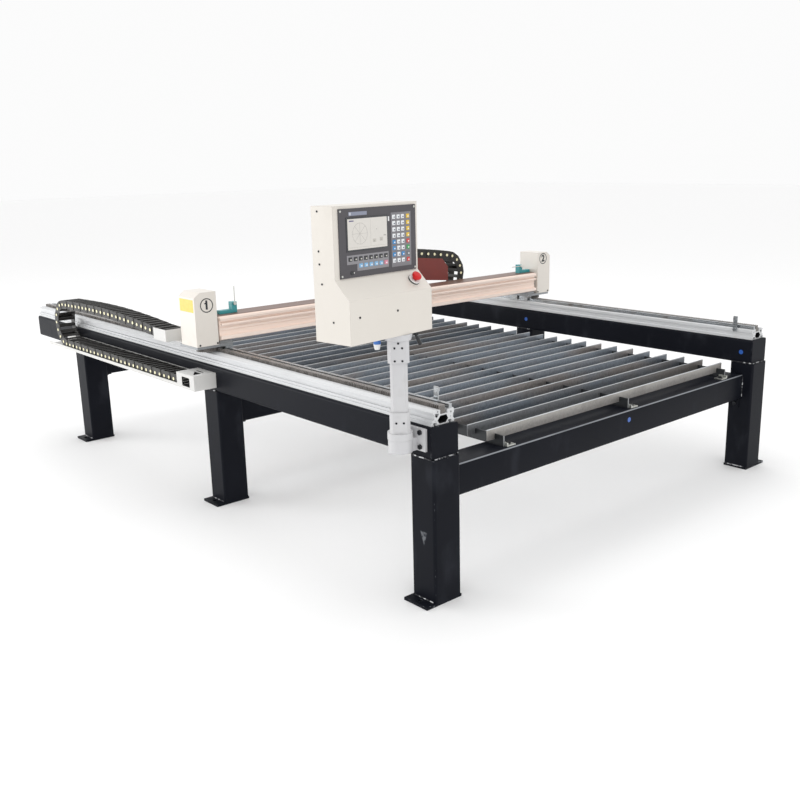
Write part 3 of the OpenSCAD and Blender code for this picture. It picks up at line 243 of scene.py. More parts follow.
# Welds. Beads run along the top and the foot of each leg and down the ends of the cross beams, ground
# a little and painted over, so that they show as a soft ripple with some bright spots.
corner = Vector((low.x, front, 0))
width = high.x - low.x
leg_w, leg_d, leg_top, foot_top, cap_face, setback = 0.120, 0.116, low.z, 0.010, 0.010, 0.048
ripple, fine_wave, coarse_wave = 0.0025, 900, 170
side_bead, front_bead, end_bead, sunk = 0.0026, 0.0028, 0.0032, 0.0006
short, end_short, side_weld, foot_weld = 0.012, 0.010, leg_top + 0.002, foot_top + 0.001


def place(x, y, z):
    """A place measured from the left beam's outer face, the front of the legs and the floor."""
    return corner + Vector((x, y, z))


def piece(bm, name, finishes, body, *nodes):
    """Makes an object of a bmesh, smooth but for its sharp edges, that rides on a body."""
    bmesh.ops.recalc_face_normals(bm, faces=bm.faces)
    mesh = bpy.data.meshes.new(name)
    bm.to_mesh(mesh)
    bm.free()
    mesh.polygons.foreach_set("use_smooth", [True] * len(mesh.polygons))
    mesh.set_sharp_from_angle(angle=math.radians(34))
    for finish in finishes:
        mesh.materials.append(finish)
    made = bpy.data.objects.new(name, mesh)
    bpy.context.scene.collection.objects.link(made)
    if body:
        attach(made, body)
    if nodes:
        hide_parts(*nodes)
    return made


def add(bm, shape, turn):
    """Puts a finished small bmesh into another, turned into place."""
    mesh = bpy.data.meshes.new("shape")
    shape.to_mesh(mesh)
    shape.free()
    mesh.transform(turn)
    bm.from_mesh(mesh)
    bpy.data.meshes.remove(mesh)


def bead(bm, start, end, radius):
    """A rippled weld between two points."""
    run = end - start
    rod = bmesh.new()
    bmesh.ops.create_cone(rod, cap_ends=True, segments=8, radius1=radius, radius2=radius, depth=run.length)
    long_edges = [e for e in rod.edges if e.calc_length() > 3 * radius]
    bmesh.ops.subdivide_edges(rod, edges=long_edges, cuts=int(run.length / ripple))
    for v in rod.verts:
        swell = 1 + 0.16 * math.sin(v.co.z * fine_wave) + 0.1 * math.sin(v.co.z * coarse_wave)
        v.co.x *= swell
        v.co.y *= swell
    turn = run.to_track_quat("Z", "Y").to_matrix().to_4x4()
    add(bm, rod, Matrix.Translation((start + end) / 2) @ turn)


weld_paint, shader, at = material("weld_paint", {"Metallic": 0.2})
burnt = at.noise(55, 5).step(0.50, 0.58)
dress(shader, {
    "Base Color": burnt.mix(tone("#1d1f24"), tone("#c9cacc")),
    "Roughness": at.noise(60, 3) * 0.3 + 0.35,
    "Normal": at.relief(at.noise(420, 3), 0.0003, 0.001)})
bm = bmesh.new()
for beam in ("front_cross_beam", "middle_cross_beam", "rear_cross_beam"):
    low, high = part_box(beam)
    y = low.y - corner.y - setback
    for x in (0, width - leg_w):
        for z in (side_weld, foot_weld):
            for face in (x + sunk, x + leg_w - sunk):
                bead(bm, place(face, y + short, z), place(face, y + leg_d - short, z), side_bead)
        for face, z in ((max(y, cap_face), leg_top), (y + leg_d, leg_top), (y + leg_d, foot_weld)):
            bead(bm, place(x + short, face, z), place(x + leg_w - short, face, z), front_bead)
    face = y + setback + sunk
    for x in (leg_w, width - leg_w):
        bead(bm, place(x, face, low.z + end_short), place(x, face, high.z - end_short), end_bead)
piece(bm, "leg_welds", [weld_paint], "frame")

# Front cross beam. The photograph shows its top reaching back under the first slat, about twice as deep as
# the CAD tube's, so a deeper square tube of the same height and paint stands for that node.
beam_depth, beam_wall, beam_round = 0.119, 0.005, 0.006
low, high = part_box("front_cross_beam")
size = Vector((high.x - low.x, beam_depth, high.z - low.z))
bm = bmesh.new()
bmesh.ops.create_cube(bm, size=1, matrix=Matrix.Translation(low + size / 2) @ Matrix.Diagonal((*size, 1)))
long_edges = [e for e in bm.edges if e.calc_length() > size.x / 2]
bmesh.ops.bevel(bm, geom=long_edges, offset=beam_round, affect="EDGES", segments=3, profile=0.5, material=-1)
ends = [f for f in bm.faces if len({round(v.co.x, 4) for v in f.verts}) == 1]
bmesh.ops.inset_individual(bm, faces=ends, thickness=beam_wall)
mouths = [e for f in ends for e in f.edges]
bmesh.ops.delete(bm, geom=ends, context="FACES_ONLY")
bmesh.ops.bridge_loops(bm, edges=mouths)
piece(bm, "front_cross_tube", [frame_paint], "frame", "front_cross_beam")

# Stickers. Plain round dots of glossy blue film, stuck to the front cross beam and to the right beam's
# inner face.
sticker, shader, at = material("sticker_film", {"Coat Weight": 0.4})
dress(shader, {
    "Base Color": at.noise(120, 3).mix(tone("#174b9f"), tone("#2a66c0")),
    "Roughness": at.noise(300, 2) * 0.2 + 0.3})
bm = bmesh.new()
to_front = Matrix.Rotation(math.pi / 2, 4, "X")
to_left = Matrix.Rotation(-math.pi / 2, 4, "Y")
sticker_r, sticker_t = 0.0105, 0.0006
for spot, turn in ((place(1.1240, setback, 0.4150), to_front),
                   (place(width - leg_w, 0.0652, 0.5597), to_left),
                   (place(width - leg_w, 1.3905, 0.5662), to_left)):
    disc = bmesh.ops.create_cone(bm, cap_ends=True, segments=28, radius1=sticker_r,
                                 radius2=sticker_r - sticker_t / 2, depth=sticker_t)
    bmesh.ops.transform(bm, matrix=Matrix.Translation(spot) @ turn, verts=disc["verts"])
piece(bm, "dot_stickers", [sticker], "frame")

# Bolts. Blackened hexagon bolts tie the angles under the cross beams, the clips of the slat bars and
# the post's flange.
black_steel, shader, at = material("black_steel", {"Metallic": 0.75})
rub = at.edges(0.0015) * at.noise(160, 3)
dress(shader, {
    "Base Color": (rub * 0.8).mix(at.noise(90, 4).mix(tone("#17181b"), tone("#2f3136")), tone("#9a9b9e")),
    "Roughness": at.noise(220, 3) * 0.25 + 0.3,
    "Normal": at.relief(at.noise(500, 3), 0.00008, 0.0008)})
coat(black_steel, "frame_bolts")

# Slats. Flat bars of galvanised steel on edge: faint spangle, streaks along the bar, a brown bloom on
# some stretches, painted shade towards the foot and a bright top edge, partly bare sheared steel and partly
# a painted highlight. The first slat is lighter and warmer.
galvanised, shader, at = material("galvanised_bar", {})
low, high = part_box("slats")
shade_low, shade_high, edge_low, edge_high, first_slat_to, first_slat_end = 0.030, 0.002, 0.0030, 0.0016, 0.02, 0.15
spangle = at.cells(75) * 0.5 + at.cells(210) * 0.5
# Painted shade: each slat's face darkens from its top towards its foot, where the slat in front shades it.
shade = at.axis(2).step(high.z - shade_low, high.z - shade_high)
# The first slat is lighter and warmer than the rest.
near = 1 - at.axis(1).step(low.y + first_slat_to, low.y + first_slat_end)
streak = at.noise(45, 5, (0.05, 1, 1))
bloom = at.noise(9, 3, (0.12, 1, 0.3)).step(0.46, 0.62)
# A bright band along each slat's top edge, partly bare steel and partly a painted highlight.
edge = at.axis(2).step(high.z - edge_low, high.z - edge_high)
dirt = at.noise(6, 6).step(0.5, 0.75)
grit = at.noise(120, 5).step(0.3, 0.7)
# The mix runs from a painted-shade colour at the foot to a lit colour at the top, with spangle, streaks and
# grit.
light = spangle * 0.1 + streak * 0.2 + grit * 0.2 + shade * 0.5
shaded_tone = near.mix(bloom.mix(tone("#363f49"), tone("#413e3d")), tone("#7d7b79"))
lit_tone = near.mix(bloom.mix(tone("#949da7"), tone("#a09a97")), tone("#b6b2ad"))
dress(shader, {
    "Base Color": edge.mix(
        (dirt * 0.35).mix(light.mix(shaded_tone, lit_tone), tone("#67625f")),
        streak.mix(tone("#b9bdc0"), tone("#dcdee0"))),
    "Roughness": spangle * 0.22 + dirt * 0.15 + 0.34,
    "Metallic": edge * 0.3 + 0.35,
    "Normal": at.relief(spangle * 0.4 + streak * 0.6, 0.00025, 0.0008)})
coat(galvanised, "slats")

# Slat bars and clips. Notched flat bars of hot-rolled steel with bright cut ends; the clips are
# zinc-plated angles.
hot_rolled, shader, at = material("hot_rolled_bar", {"Metallic": 0.3})
scale = at.noise(24, 6, (1, 0.25, 1))
front_end, cut_from, cut_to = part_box("slat_supports")[0].y, 0.0005, 0.0015
cut_face = 1 - at.axis(1).step(front_end + cut_from, front_end + cut_to)
dress(shader, {
    "Base Color": cut_face.mix(scale.mix(tone("#232528"), tone("#3f4245")), tone("#8a8c8e")),
    "Roughness": scale * 0.3 + 0.3,
    "Normal": at.relief(at.noise(260, 4), 0.0002, 0.001)})
coat(hot_rolled, "slat_supports")

zinc, shader, at = material("zinc_plate", {"Metallic": 0.9})
hue = at.noise(35, 3)
dress(shader, {
    "Base Color": hue.mix(tone("#c3c6c4"), tone("#dcdcd3")),
    "Roughness": at.noise(140, 4) * 0.25 + 0.2,
    "Normal": at.relief(at.noise(300, 3), 0.0001, 0.0012)})
coat(zinc, "support_clips")

# Rails. Long aluminium extrusions with a satin anodised skin, drawn streaks along their length and
# painted shade on the walls inside their hollows.
anodised, shader, at = material("anodised_rail", {"Metallic": 0.15})
draw = at.noise(650, 3, (1, 0.0015, 1))
bloom = at.noise(1.7, 4)
grime = at.noise(9, 6, (1, 0.3, 1)).step(0.5, 0.8)
low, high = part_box("rails")
inward = (high.x - low.x) / 2 - at.math("ABSOLUTE", at.axis(0) - (low.x + high.x) / 2)
hollow_from, hollow_to, hollow_low, hollow_high, hollow_blur = 0.0265, 0.0765, 0.0035, 0.0310, 0.0005
end_from, end_to = 0.0008, 0.0012
# Painted shade: the walls inside the rail's hollow are coloured near black from just behind its end face.
hollow_shade = (inward.within(hollow_from, hollow_to, hollow_blur)
          * at.axis(2).within(low.z + hollow_low, low.z + hollow_high, hollow_blur)
          * at.axis(1).step(low.y + end_from, low.y + end_to))
satin = (draw * 0.6 + bloom * 0.4).mix(tone("#b9bbbd"), tone("#e8e9ea"))
dress(shader, {
    "Base Color": hollow_shade.mix((grime * 0.3).mix(satin, tone("#8f8c88")), tone("#1e1f21")),
    "Roughness": draw * 0.16 + bloom * 0.12 + 0.34,
    "Normal": at.relief(draw, 0.00025, 0.0007)})
coat(anodised, "rails")

# Guides and racks. Ground and hardened steel guides with counterbored screws; the racks are milled
# steel with a brown film of oil between the teeth.
ground, shader, at = material("ground_steel", {"Metallic": 1.0})
lay = at.noise(900, 2, (1, 0.004, 1))
oil = at.noise(14, 5).step(0.45, 0.8)
dress(shader, {
    "Base Color": oil.mix(lay.mix(tone("#8f9397"), tone("#c7cacc")), tone("#7f776d")),
    "Roughness": lay * 0.18 + oil * 0.1 + 0.18,
    "Normal": at.relief(lay, 0.0001, 0.0006)})
coat(ground, "rail_guides", "rail_stops", "bearing_blocks", "carriage_blocks", "lifter_screw")

rack_steel, shader, at = material("rack_steel", {"Metallic": 0.35})
film = at.noise(30, 6).step(0.35, 0.75)
dress(shader, {
    "Base Color": (at.edges(0.0012) * 0.7).mix(film.mix(tone("#6a6663"), tone("#8a8581")), tone("#bdb9b5")),
    "Roughness": film * 0.3 + 0.22,
    "Normal": at.relief(at.noise(400, 3), 0.0001, 0.0004)})
coat(rack_steel, "rail_racks", "left_pinion", "right_pinion", "carriage_pinion")

# Chain sheet metal. The tray, the box at the chain's fixed end and the open box at its moving end
# are folded sheet, sprayed white, with finger marks and rubbed edges; inside the fixed box the sheet is
# painted dark, as shade.
white_sheet, shader, at = material("white_sheet", {"Coat Weight": 0.15})
mark = at.noise(13, 6).step(0.55, 0.8)
rub = at.edges(0.002) * at.noise(45, 4).step(0.48, 0.66)
low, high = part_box("chain_anchor")
# Painted shade: faces inside the fixed box's outline get a near-black colour.
inside_shade, sheet_in, sheet_blur = 1, 0.0008, 0.0004
for i in range(3):
    inside_shade = inside_shade * at.axis(i).within(low[i] + sheet_in, high[i] - sheet_in, sheet_blur)
white = (mark * 0.35).mix(at.noise(3, 3).mix(tone("#d0cfcc"), tone("#d9d8d6")), tone("#b7b5b0"))
dress(shader, {
    "Base Color": inside_shade.mix((rub * 0.5).mix(white, tone("#8d8c88")), tone("#26272a")),
    "Roughness": mark * 0.2 + 0.36,
    "Normal": at.relief(at.noise(520, 2), 0.00008, 0.0012)})
coat(white_sheet, "chain_tray", "chain_anchor", "chain_holder", "beam_chain_tray", "lifter_housing")

# Gantry's energy chain. Black nylon links, two side plates and two crossbars each, snapped together
# at pins with a pale yellow dot on every pin.
nylon, shader, at = material("black_nylon", {"Specular IOR Level": 0.4})
haze = at.noise(26, 5)
dress(shader, {
    "Base Color": haze.mix(tone("#1b1a19"), tone("#312f2c")),
    "Roughness": haze * 0.3 + 0.3,
    "Normal": at.relief(at.noise(800, 2), 0.00006, 0.0012)})
dot_paint, shader, at = material("chain_dot", {})
dress(shader, {
    "Base Color": at.noise(220, 2).mix(tone("#f0e8b4"), tone("#faf5d6")),
    "Roughness": at.noise(400, 2) * 0.2 + 0.35})
link_h, link_t, plate_t, plate_round, pitch, play = 0.044, 0.004, 0.0018, 0.010, 0.043, 0.0002
boss_r, dot_r, disc_t, boss_out, dot_out = 0.0112, 0.0076, 0.0010, 0.0003, 0.0007
plate_share, bar_shares, rib_shares = 1.44, (0.3, 0.7), (0.42, 0.58)
rib_round, bend_r, bend_links = 0.0005, 0.103, 4


def block(bm, low, high, rounding, segments=2):
    """A box between two corners with rounded edges."""
    low, high = Vector(low), Vector(high)
    cube = bmesh.ops.create_cube(bm, size=1, matrix=Matrix.Translation((low + high) / 2)
                                 @ Matrix.Diagonal((*(high - low), 1)))
    edges = list({e for v in cube["verts"] for e in v.link_edges})
    new = bmesh.ops.bevel(bm, geom=edges, offset=rounding, affect="EDGES", segments=segments, profile=0.5,
                          material=-1)
    return list({v for f in new["faces"] for v in f.verts})


def chain_link(bm, width, outer):
    """One link along Y from its pin at the origin: side plates, crossbars, pins and dots."""
    inset = 0 if outer else plate_t + play
    for side in (-1, 1):
        x = side * (width / 2 - inset - plate_t / 2)
        plate = bmesh.ops.create_cube(bm, size=1, matrix=Matrix.Translation((x, pitch / 2, 0))
                                      @ Matrix.Diagonal((plate_t, plate_share * pitch, link_h, 1)))
        corners = [e for e in {e for v in plate["verts"] for e in v.link_edges}
                   if abs(e.verts[0].co.x - e.verts[1].co.x) > plate_t / 2]
        bmesh.ops.bevel(bm, geom=corners, offset=plate_round, affect="EDGES", segments=3, profile=0.5,
                        material=-1)
        turn = Matrix.Rotation(side * math.pi / 2, 4, "Y")
        out = x + side * (plate_t / 2 + boss_out)
        for y in (0, pitch) if outer else ():
            bmesh.ops.create_cone(bm, cap_ends=True, segments=14, radius1=boss_r, radius2=boss_r - disc_t,
                                  depth=disc_t, matrix=Matrix.Translation((out, y, 0)) @ turn)
            dot = bmesh.ops.create_cone(bm, cap_ends=True, segments=12, radius1=dot_r,
                                        radius2=dot_r - 0.8 * disc_t, depth=disc_t,
                                        matrix=Matrix.Translation((out + side * dot_out, y, 0)) @ turn)
            for f in {f for v in dot["verts"] for f in v.link_faces}:
                f.material_index = 1
    x = width / 2 - inset - plate_t
    for z in (-1, 1):
        edge = z * link_h / 2
        block(bm, (-x, bar_shares[0] * pitch, edge - (z + 1) * link_t / 2),
              (x, bar_shares[1] * pitch, edge - (z - 1) * link_t / 2), 0.3 * link_t, 1)
        rib = edge - z * 0.25 * link_t
        block(bm, (-x, rib_shares[0] * pitch, rib - 0.4 * link_t),
              (x, rib_shares[1] * pitch, rib + 0.4 * link_t), rib_round, 1)


def chain(name, pins, width, across, body, node):
    """Links from pin to pin, outer and inner ones in turn, along a list of places."""
    bm = bmesh.new()
    kinds = []
    for outer in (True, False):
        one = bmesh.new()
        chain_link(one, width, outer)
        kinds.append(bpy.data.meshes.new("link"))
        one.to_mesh(kinds[-1])
        one.free()
    for i, (a, b) in enumerate(zip(pins, pins[1:])):
        along = (b - a).normalized()
        turn = Matrix((across, along, across.cross(along))).transposed().to_4x4()
        before = len(bm.verts)
        bm.from_mesh(kinds[i % 2])
        bm.verts.ensure_lookup_table()
        stretch = Matrix.Diagonal((1, (b - a).length / pitch, 1, 1))
        bmesh.ops.transform(bm, matrix=Matrix.Translation(a) @ turn @ stretch, verts=bm.verts[before:])
    for kind in kinds:
        bpy.data.meshes.remove(kind)
    return piece(bm, name, [nylon, dot_paint], body, node)


def straight(a, b, count, rise):
    """Pins of a run between two points that rises in its middle."""
    lifts = [rise * math.sin(math.pi * i / count) for i in range(count + 1)]
    return [a.lerp(b, i / count) + Vector((0, 0, lift)) for i, lift in enumerate(lifts)]


def quarter(centre, radius, along, start):
    """Pins round a quarter of a bend, from a start angle in degrees."""
    angles = [math.radians(start + 90 * i / bend_links) for i in range(bend_links + 1)]
    return [centre + radius * (math.cos(t) * along + math.sin(t) * Vector((0, 0, 1))) for t in angles]


y_chain_x, y_width, y_lower_links, y_upper_links, y_rise = -0.052, 0.089, 28, 26, 0.020
y_bend = place(y_chain_x, 2.698, 0.65612)
y_fixed = place(y_chain_x, 1.500, 0.55312)
y_moving = place(y_chain_x, 1.5978, 0.7348)
y_low = y_bend - Vector((0, 0, bend_r))
y_high = y_bend + Vector((0, 0, bend_r))
across_x = Vector((1, 0, 0))
pins = straight(y_fixed, y_low, y_lower_links, 0)
run = chain("y_chain_lower_links", pins, y_width, across_x, None, "y_chain_lower")
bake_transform(run)
pins = straight(y_high, y_moving, y_upper_links, y_rise)
run = chain("y_chain_upper_links", pins, y_width, across_x, None, "y_chain_upper")
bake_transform(run)
for half, start in (("lower", -90), ("upper", 0)):
    pins = quarter(y_bend, bend_r, Vector((0, 1, 0)), start)
    chain("y_chain_bend_" + half + "_links", pins, y_width, across_x, "y_chain_bend_" + half,
          "y_chain_loop_" + half)

# Gantry beam. An aluminium extrusion still in its pinkish shipping film, which wrinkles along the
# beam and has browned on top; the film also covers the guides and the rack along its front.
film_wrap, shader, at = material("beam_film", {"Coat Weight": 0.12, "Coat Roughness": 0.25})
low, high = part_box("gantry_beam")
wrinkle = at.noise(38, 4, (0.05, 1, 1))
patch = at.noise(4, 4, (0.35, 1, 1))
roof_low, roof_high, seam_low, seam_high, seam_blur = 0.004, 0.001, 0.020, 0.011, 0.003
roof = at.axis(2).step(high.z - roof_low, high.z - roof_high)
seam = at.axis(2).within(high.z - seam_low, high.z - seam_high, seam_blur)
pink = (wrinkle * 0.4 + patch * 0.6).mix(tone("#fde7d9"), tone("#fff0e6"))
browned = patch.mix(tone("#5f443a"), tone("#785b4e"))
dress(shader, {
    "Base Color": roof.mix((seam * 0.25).mix(pink, tone("#9a7663")), browned),
    "Roughness": wrinkle * 0.2 + 0.34,
    "Normal": at.relief(wrinkle, 0.0001, 0.0015)})
coat(film_wrap, "gantry_beam", "beam_guides", "beam_rack")

# End bases and drives. Thick steel plates under the beam's ends; the carriage's plate is blackened
# steel. The motors stand on round gearboxes inside the covers, with black cast bodies.
base_steel, shader, at = material("base_steel", {"Metallic": 0.5})
lay = at.noise(300, 3, (1, 0.02, 1))
dress(shader, {
    "Base Color": (at.edges(0.0015) * 0.6).mix(lay.mix(tone("#85888b"), tone("#a4a7a9")), tone("#c9cbcc")),
    "Roughness": lay * 0.2 + 0.3,
    "Normal": at.relief(lay, 0.0001, 0.001)})
coat(base_steel, "end_bases")
coat(black_steel, "carriage_plate")
cast_black, shader, at = material("cast_black", {"Specular IOR Level": 0.4})
grain = at.noise(260, 4)
dress(shader, {
    "Base Color": at.noise(20, 4).mix(tone("#1c1d20"), tone("#34353a")),
    "Roughness": grain * 0.25 + 0.35,
    "Normal": at.relief(grain, 0.0002, 0.0018)})
coat(cast_black, "gantry_motors", "carriage_motors")

# Drive covers. Folded steel sheet, sprayed off-white, one at each end of the gantry; each has its
# axis number in a ring on the front, and two dark screws hold its foot.
cover_paint, shader, at = material("cover_paint", {"Coat Weight": 0.25, "Coat Roughness": 0.3})
smudge = at.noise(9, 6).step(0.55, 0.82)
rub = at.edges(0.003) * at.noise(35, 4).step(0.5, 0.68)
white = (smudge * 0.3).mix(at.noise(4, 3).mix(tone("#ded8cf"), tone("#e6e0d8")), tone("#c9c3b6"))
dress(shader, {
    "Base Color": (rub * 0.4).mix(white, tone("#a7a49c")),
    "Roughness": smudge * 0.2 + 0.34,
    "Normal": at.relief(at.noise(480, 2), 0.0001, 0.002)})
coat(cover_paint, "left_cover", "right_cover")

ink, shader, at = material("printed_ink", {})
dress(shader, {
    "Base Color": at.noise(240, 3).mix(tone("#16171a"), tone("#303238")),
    "Roughness": at.noise(500, 2) * 0.2 + 0.4})


def lathe(bm, profile, turn):
    """A closed round body from a list of radii and heights, turned into place."""
    body = bmesh.new()
    points = [body.verts.new((r, 0, z)) for r, z in profile]
    edges = [body.edges.new(pair) for pair in zip(points, points[1:])]
    bmesh.ops.spin(body, geom=points + edges, cent=(0, 0, 0), axis=(0, 0, 1), angle=2 * math.pi, steps=40,
                   use_merge=True)
    bmesh.ops.remove_doubles(body, verts=body.verts, dist=1e-6)
    add(bm, body, turn)


ring_in, ring_out, ring_t, ink_t = 0.0262, 0.0302, 0.0003, 0.0002
flag_low, flag_high, flag_round = (-0.0120, -0.0022, 0), (0.0010, 0.0022, 0.0004), 0.0001
flag_foot, flag_turn = (0, 0.0140, 0), math.radians(38)
for figure, node, x, z in (("1", "left_cover", -0.0041, 0.8767), ("2", "right_cover", 2.1303, 0.8968)):
    letter = bpy.data.curves.new("figure", "FONT")
    letter.body = figure
    letter.size = 0.050
    letter.align_x = "CENTER"
    letter.align_y = "CENTER"
    letter.extrude = ink_t
    letter.offset = 0.0022
    holder = bpy.data.objects.new("figure", letter)
    bpy.context.scene.collection.objects.link(holder)
    flat = bpy.data.meshes.new_from_object(holder)
    bpy.data.objects.remove(holder)
    bm = bmesh.new()
    bm.from_mesh(flat)
    if figure == "1":
        flag = bmesh.new()
        block(flag, flag_low, flag_high, flag_round, 1)
        add(bm, flag, Matrix.Translation(flag_foot) @ Matrix.Rotation(flag_turn, 4, "Z"))
    lathe(bm, ((ring_in, 0), (ring_in, ring_t), (ring_out, ring_t), (ring_out, 0), (ring_in, 0)), Matrix())
    spot = Vector((place(x, 0, z).x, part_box(node)[0].y - ink_t, z))
    bmesh.ops.transform(bm, matrix=Matrix.Translation(spot) @ to_front, verts=bm.verts)
    piece(bm, "axis_number_" + figure, [ink], "gantry")

label_film, shader, at = material("label_film", {"Coat Weight": 0.5})
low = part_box("left_cover")[0]
dress(shader, {
    "Base Color": at.noise(60, 4).mix(tone("#e8b90f"), tone("#f6cf3a")),
    "Roughness": at.noise(200, 3) * 0.2 + 0.25})
bm = bmesh.new()
label_low, label_high = place(0, 1.387, 0.850), place(0, 1.500, 0.903)
label_out, label_in, label_round = 0.0004, 0.0002, 0.00012
block(bm, (low.x - label_out, label_low.y, label_low.z),
      (low.x + label_in, label_high.y, label_high.z), label_round, 1)
piece(bm, "blank_label", [label_film], "gantry")


def screw(bm, turn, radius):
    """A pan-head screw, its head towards local +Z."""
    head = bmesh.new()
    height = 0.5 * radius
    bmesh.ops.create_cone(head, cap_ends=True, segments=20, radius1=radius, radius2=radius, depth=height,
                          matrix=Matrix.Translation((0, 0, height / 2)))
    rim = [e for e in head.edges if all(v.co.z > 0.8 * height for v in e.verts)]
    bmesh.ops.bevel(head, geom=rim, offset=0.22 * radius, affect="EDGES", segments=2, profile=0.5,
                    material=-1)
    crown = max(head.faces, key=lambda f: f.calc_center_median().z)
    bmesh.ops.inset_region(head, faces=[crown], thickness=0.35 * radius)
    bmesh.ops.translate(head, vec=(0, 0, -0.2 * radius), verts=crown.verts)
    add(bm, head, turn)


bm = bmesh.new()
screw_outer, screw_inner, screw_z, cover_screw_r = 0.0468, 0.0358, 0.7122, 0.0042
for x in (-screw_outer, screw_inner, width - screw_inner, width + screw_outer):
    screw(bm, Matrix.Translation((place(x, 0, 0).x, low.y, screw_z)) @ to_front, cover_screw_r)
piece(bm, "cover_screws", [black_steel], "gantry")

# Limit switches. Small die-cast bodies in turquoise paint on top of the beam; a zinc-plated rod lever
# turns on each one's head.
switch_paint, shader, at = material("switch_paint", {"Coat Weight": 0.2})
shade = at.noise(40, 4)
dress(shader, {
    "Base Color": (at.edges(0.002) * 0.4).mix(shade.mix(tone("#1f7f88"), tone("#39a3a6")), tone("#9fd0cf")),
    "Roughness": shade * 0.2 + 0.3,
    "Normal": at.relief(at.noise(380, 3), 0.00015, 0.002)})
coat(switch_paint, "limit_switches")
coat(zinc, "left_switch_lever", "right_switch_lever")

# Carriage's energy chain. A narrower chain of the same kind behind the beam; its arm plate is bent
# sheet, primed red-brown, and reaches over the beam from the carriage.
x_chain_y, x_width, x_lower_links, x_upper_links, x_rise = 1.552, 0.077, 14, 16, 0.029
x_bend = place(1.5125, x_chain_y, 0.854)
x_fixed = place(0.8845, x_chain_y, 0.751)
x_moving = place(0.7945, x_chain_y, 0.9573)
x_low = x_bend - Vector((0, 0, bend_r))
x_high = x_bend + Vector((0, 0, bend_r))
across_y = Vector((0, -1, 0))
pins = straight(x_fixed, x_low, x_lower_links, 0)
run = chain("x_chain_lower_links", pins, x_width, across_y, None, "x_chain_lower")
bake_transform(run)
pins = straight(x_high, x_moving, x_upper_links, x_rise)
run = chain("x_chain_upper_links", pins, x_width, across_y, None, "x_chain_upper")
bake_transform(run)
for half, start in (("lower", -90), ("upper", 0)):
    pins = quarter(x_bend, bend_r, Vector((1, 0, 0)), start)
    chain("x_chain_bend_" + half + "_links", pins, x_width, across_y, "x_chain_bend_" + half,
          "x_chain_loop_" + half)

primer, shader, at = material("red_primer", {})
coatings = at.noise(12, 6)
red = coatings.mix(tone("#732c27"), tone("#853a33"))
dress(shader, {
    "Base Color": (at.edges(0.0015) * 0.4).mix(red, tone("#a5745f")),
    "Roughness": coatings * 0.25 + 0.4,
    "Normal": at.relief(at.noise(420, 3), 0.0001, 0.001)})
coat(primer, "chain_arm")

# Torch lifter. A sheet housing with a turned screw, an aluminium slide with a ring, and the machine
# torch: black body, steel shield cup, copper nozzle.
milled, shader, at = material("milled_aluminium", {"Metallic": 0.95})
lay = at.noise(700, 2, (1, 1, 0.01))
dress(shader, {
    "Base Color": lay.mix(tone("#aeb1b4"), tone("#d9dbdd")),
    "Roughness": lay * 0.2 + 0.2,
    "Normal": at.relief(lay, 0.00015, 0.001)})
coat(milled, "lifter_slide")

torch_skin, shader, at = material("torch_skin", {})
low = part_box("torch")[0].z
nozzle_h, nozzle_blur, cup_h, cup_blur = 0.0150, 0.0005, 0.0690, 0.0010
copper = 1 - at.axis(2).step(low + nozzle_h - nozzle_blur, low + nozzle_h)
cup = (1 - at.axis(2).step(low + cup_h - cup_blur, low + cup_h)) - copper
speck = at.noise(300, 4)
black = speck.mix(tone("#1a1b1d"), tone("#303236"))
dress(shader, {
    "Base Color": copper.mix(cup.mix(black, tone("#a6a8aa")), tone("#b9713c")),
    "Metallic": copper + cup * 0.9,
    "Roughness": speck * 0.2 + 0.28,
    "Normal": at.relief(speck, 0.00008, 0.001)})
coat(torch_skin, "torch")

# Post. A cast flange and ring on the side beam carry a square aluminium tube between two sleeves,
# all sprayed pale grey; small black screws clamp the sleeves, and a black lever locks the turn.
post_paint, shader, at = material("post_paint", {"Coat Weight": 0.2})
mark = at.noise(16, 6).step(0.56, 0.8)
rub = at.edges(0.002) * at.noise(60, 4).step(0.5, 0.7)
pale = (mark * 0.3).mix(at.noise(6, 3).mix(tone("#c3c3c6"), tone("#cececf")), tone("#a29f9c"))
dress(shader, {
    "Base Color": (rub * 0.4).mix(pale, tone("#878582")),
    "Roughness": mark * 0.2 + 0.34,
    "Normal": at.relief(at.noise(420, 3), 0.00012, 0.0025)})
coat(post_paint, "post", "console_neck")
axis_low, axis_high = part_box("console_neck")
axis = (axis_low + axis_high) / 2
post_turn = Matrix.Rotation(math.radians(-40), 4, "Z")
lower_face, upper_face, spread, sleeve_screw_r = 0.0331, 0.0345, 0.012, 0.0035
lower_z, upper_z, rim_z, top_z = 0.640, 0.842, 0.883, 0.898
bm = bmesh.new()
for face, shift, z in ((lower_face, -spread, lower_z), (lower_face, spread, lower_z),
                       (upper_face, -spread, upper_z), (upper_face, spread, upper_z),
                       (upper_face, -spread, rim_z), (upper_face, spread, rim_z), (upper_face, 0, top_z)):
    spot = Matrix.Translation((axis.x, axis.y, z)) @ post_turn @ Matrix.Translation((shift, -face, 0))
    screw(bm, spot @ to_front, sleeve_screw_r)
piece(bm, "sleeve_screws", [black_steel], "frame")

lever_plastic, shader, at = material("lever_plastic", {})
dress(shader, {
    "Base Color": at.noise(60, 4).mix(tone("#151618"), tone("#2a2b2e")),
    "Roughness": at.noise(300, 3) * 0.2 + 0.35,
    "Normal": at.relief(at.noise(600, 2), 0.00006, 0.002)})
coat(lever_plastic, "clamp_lever")

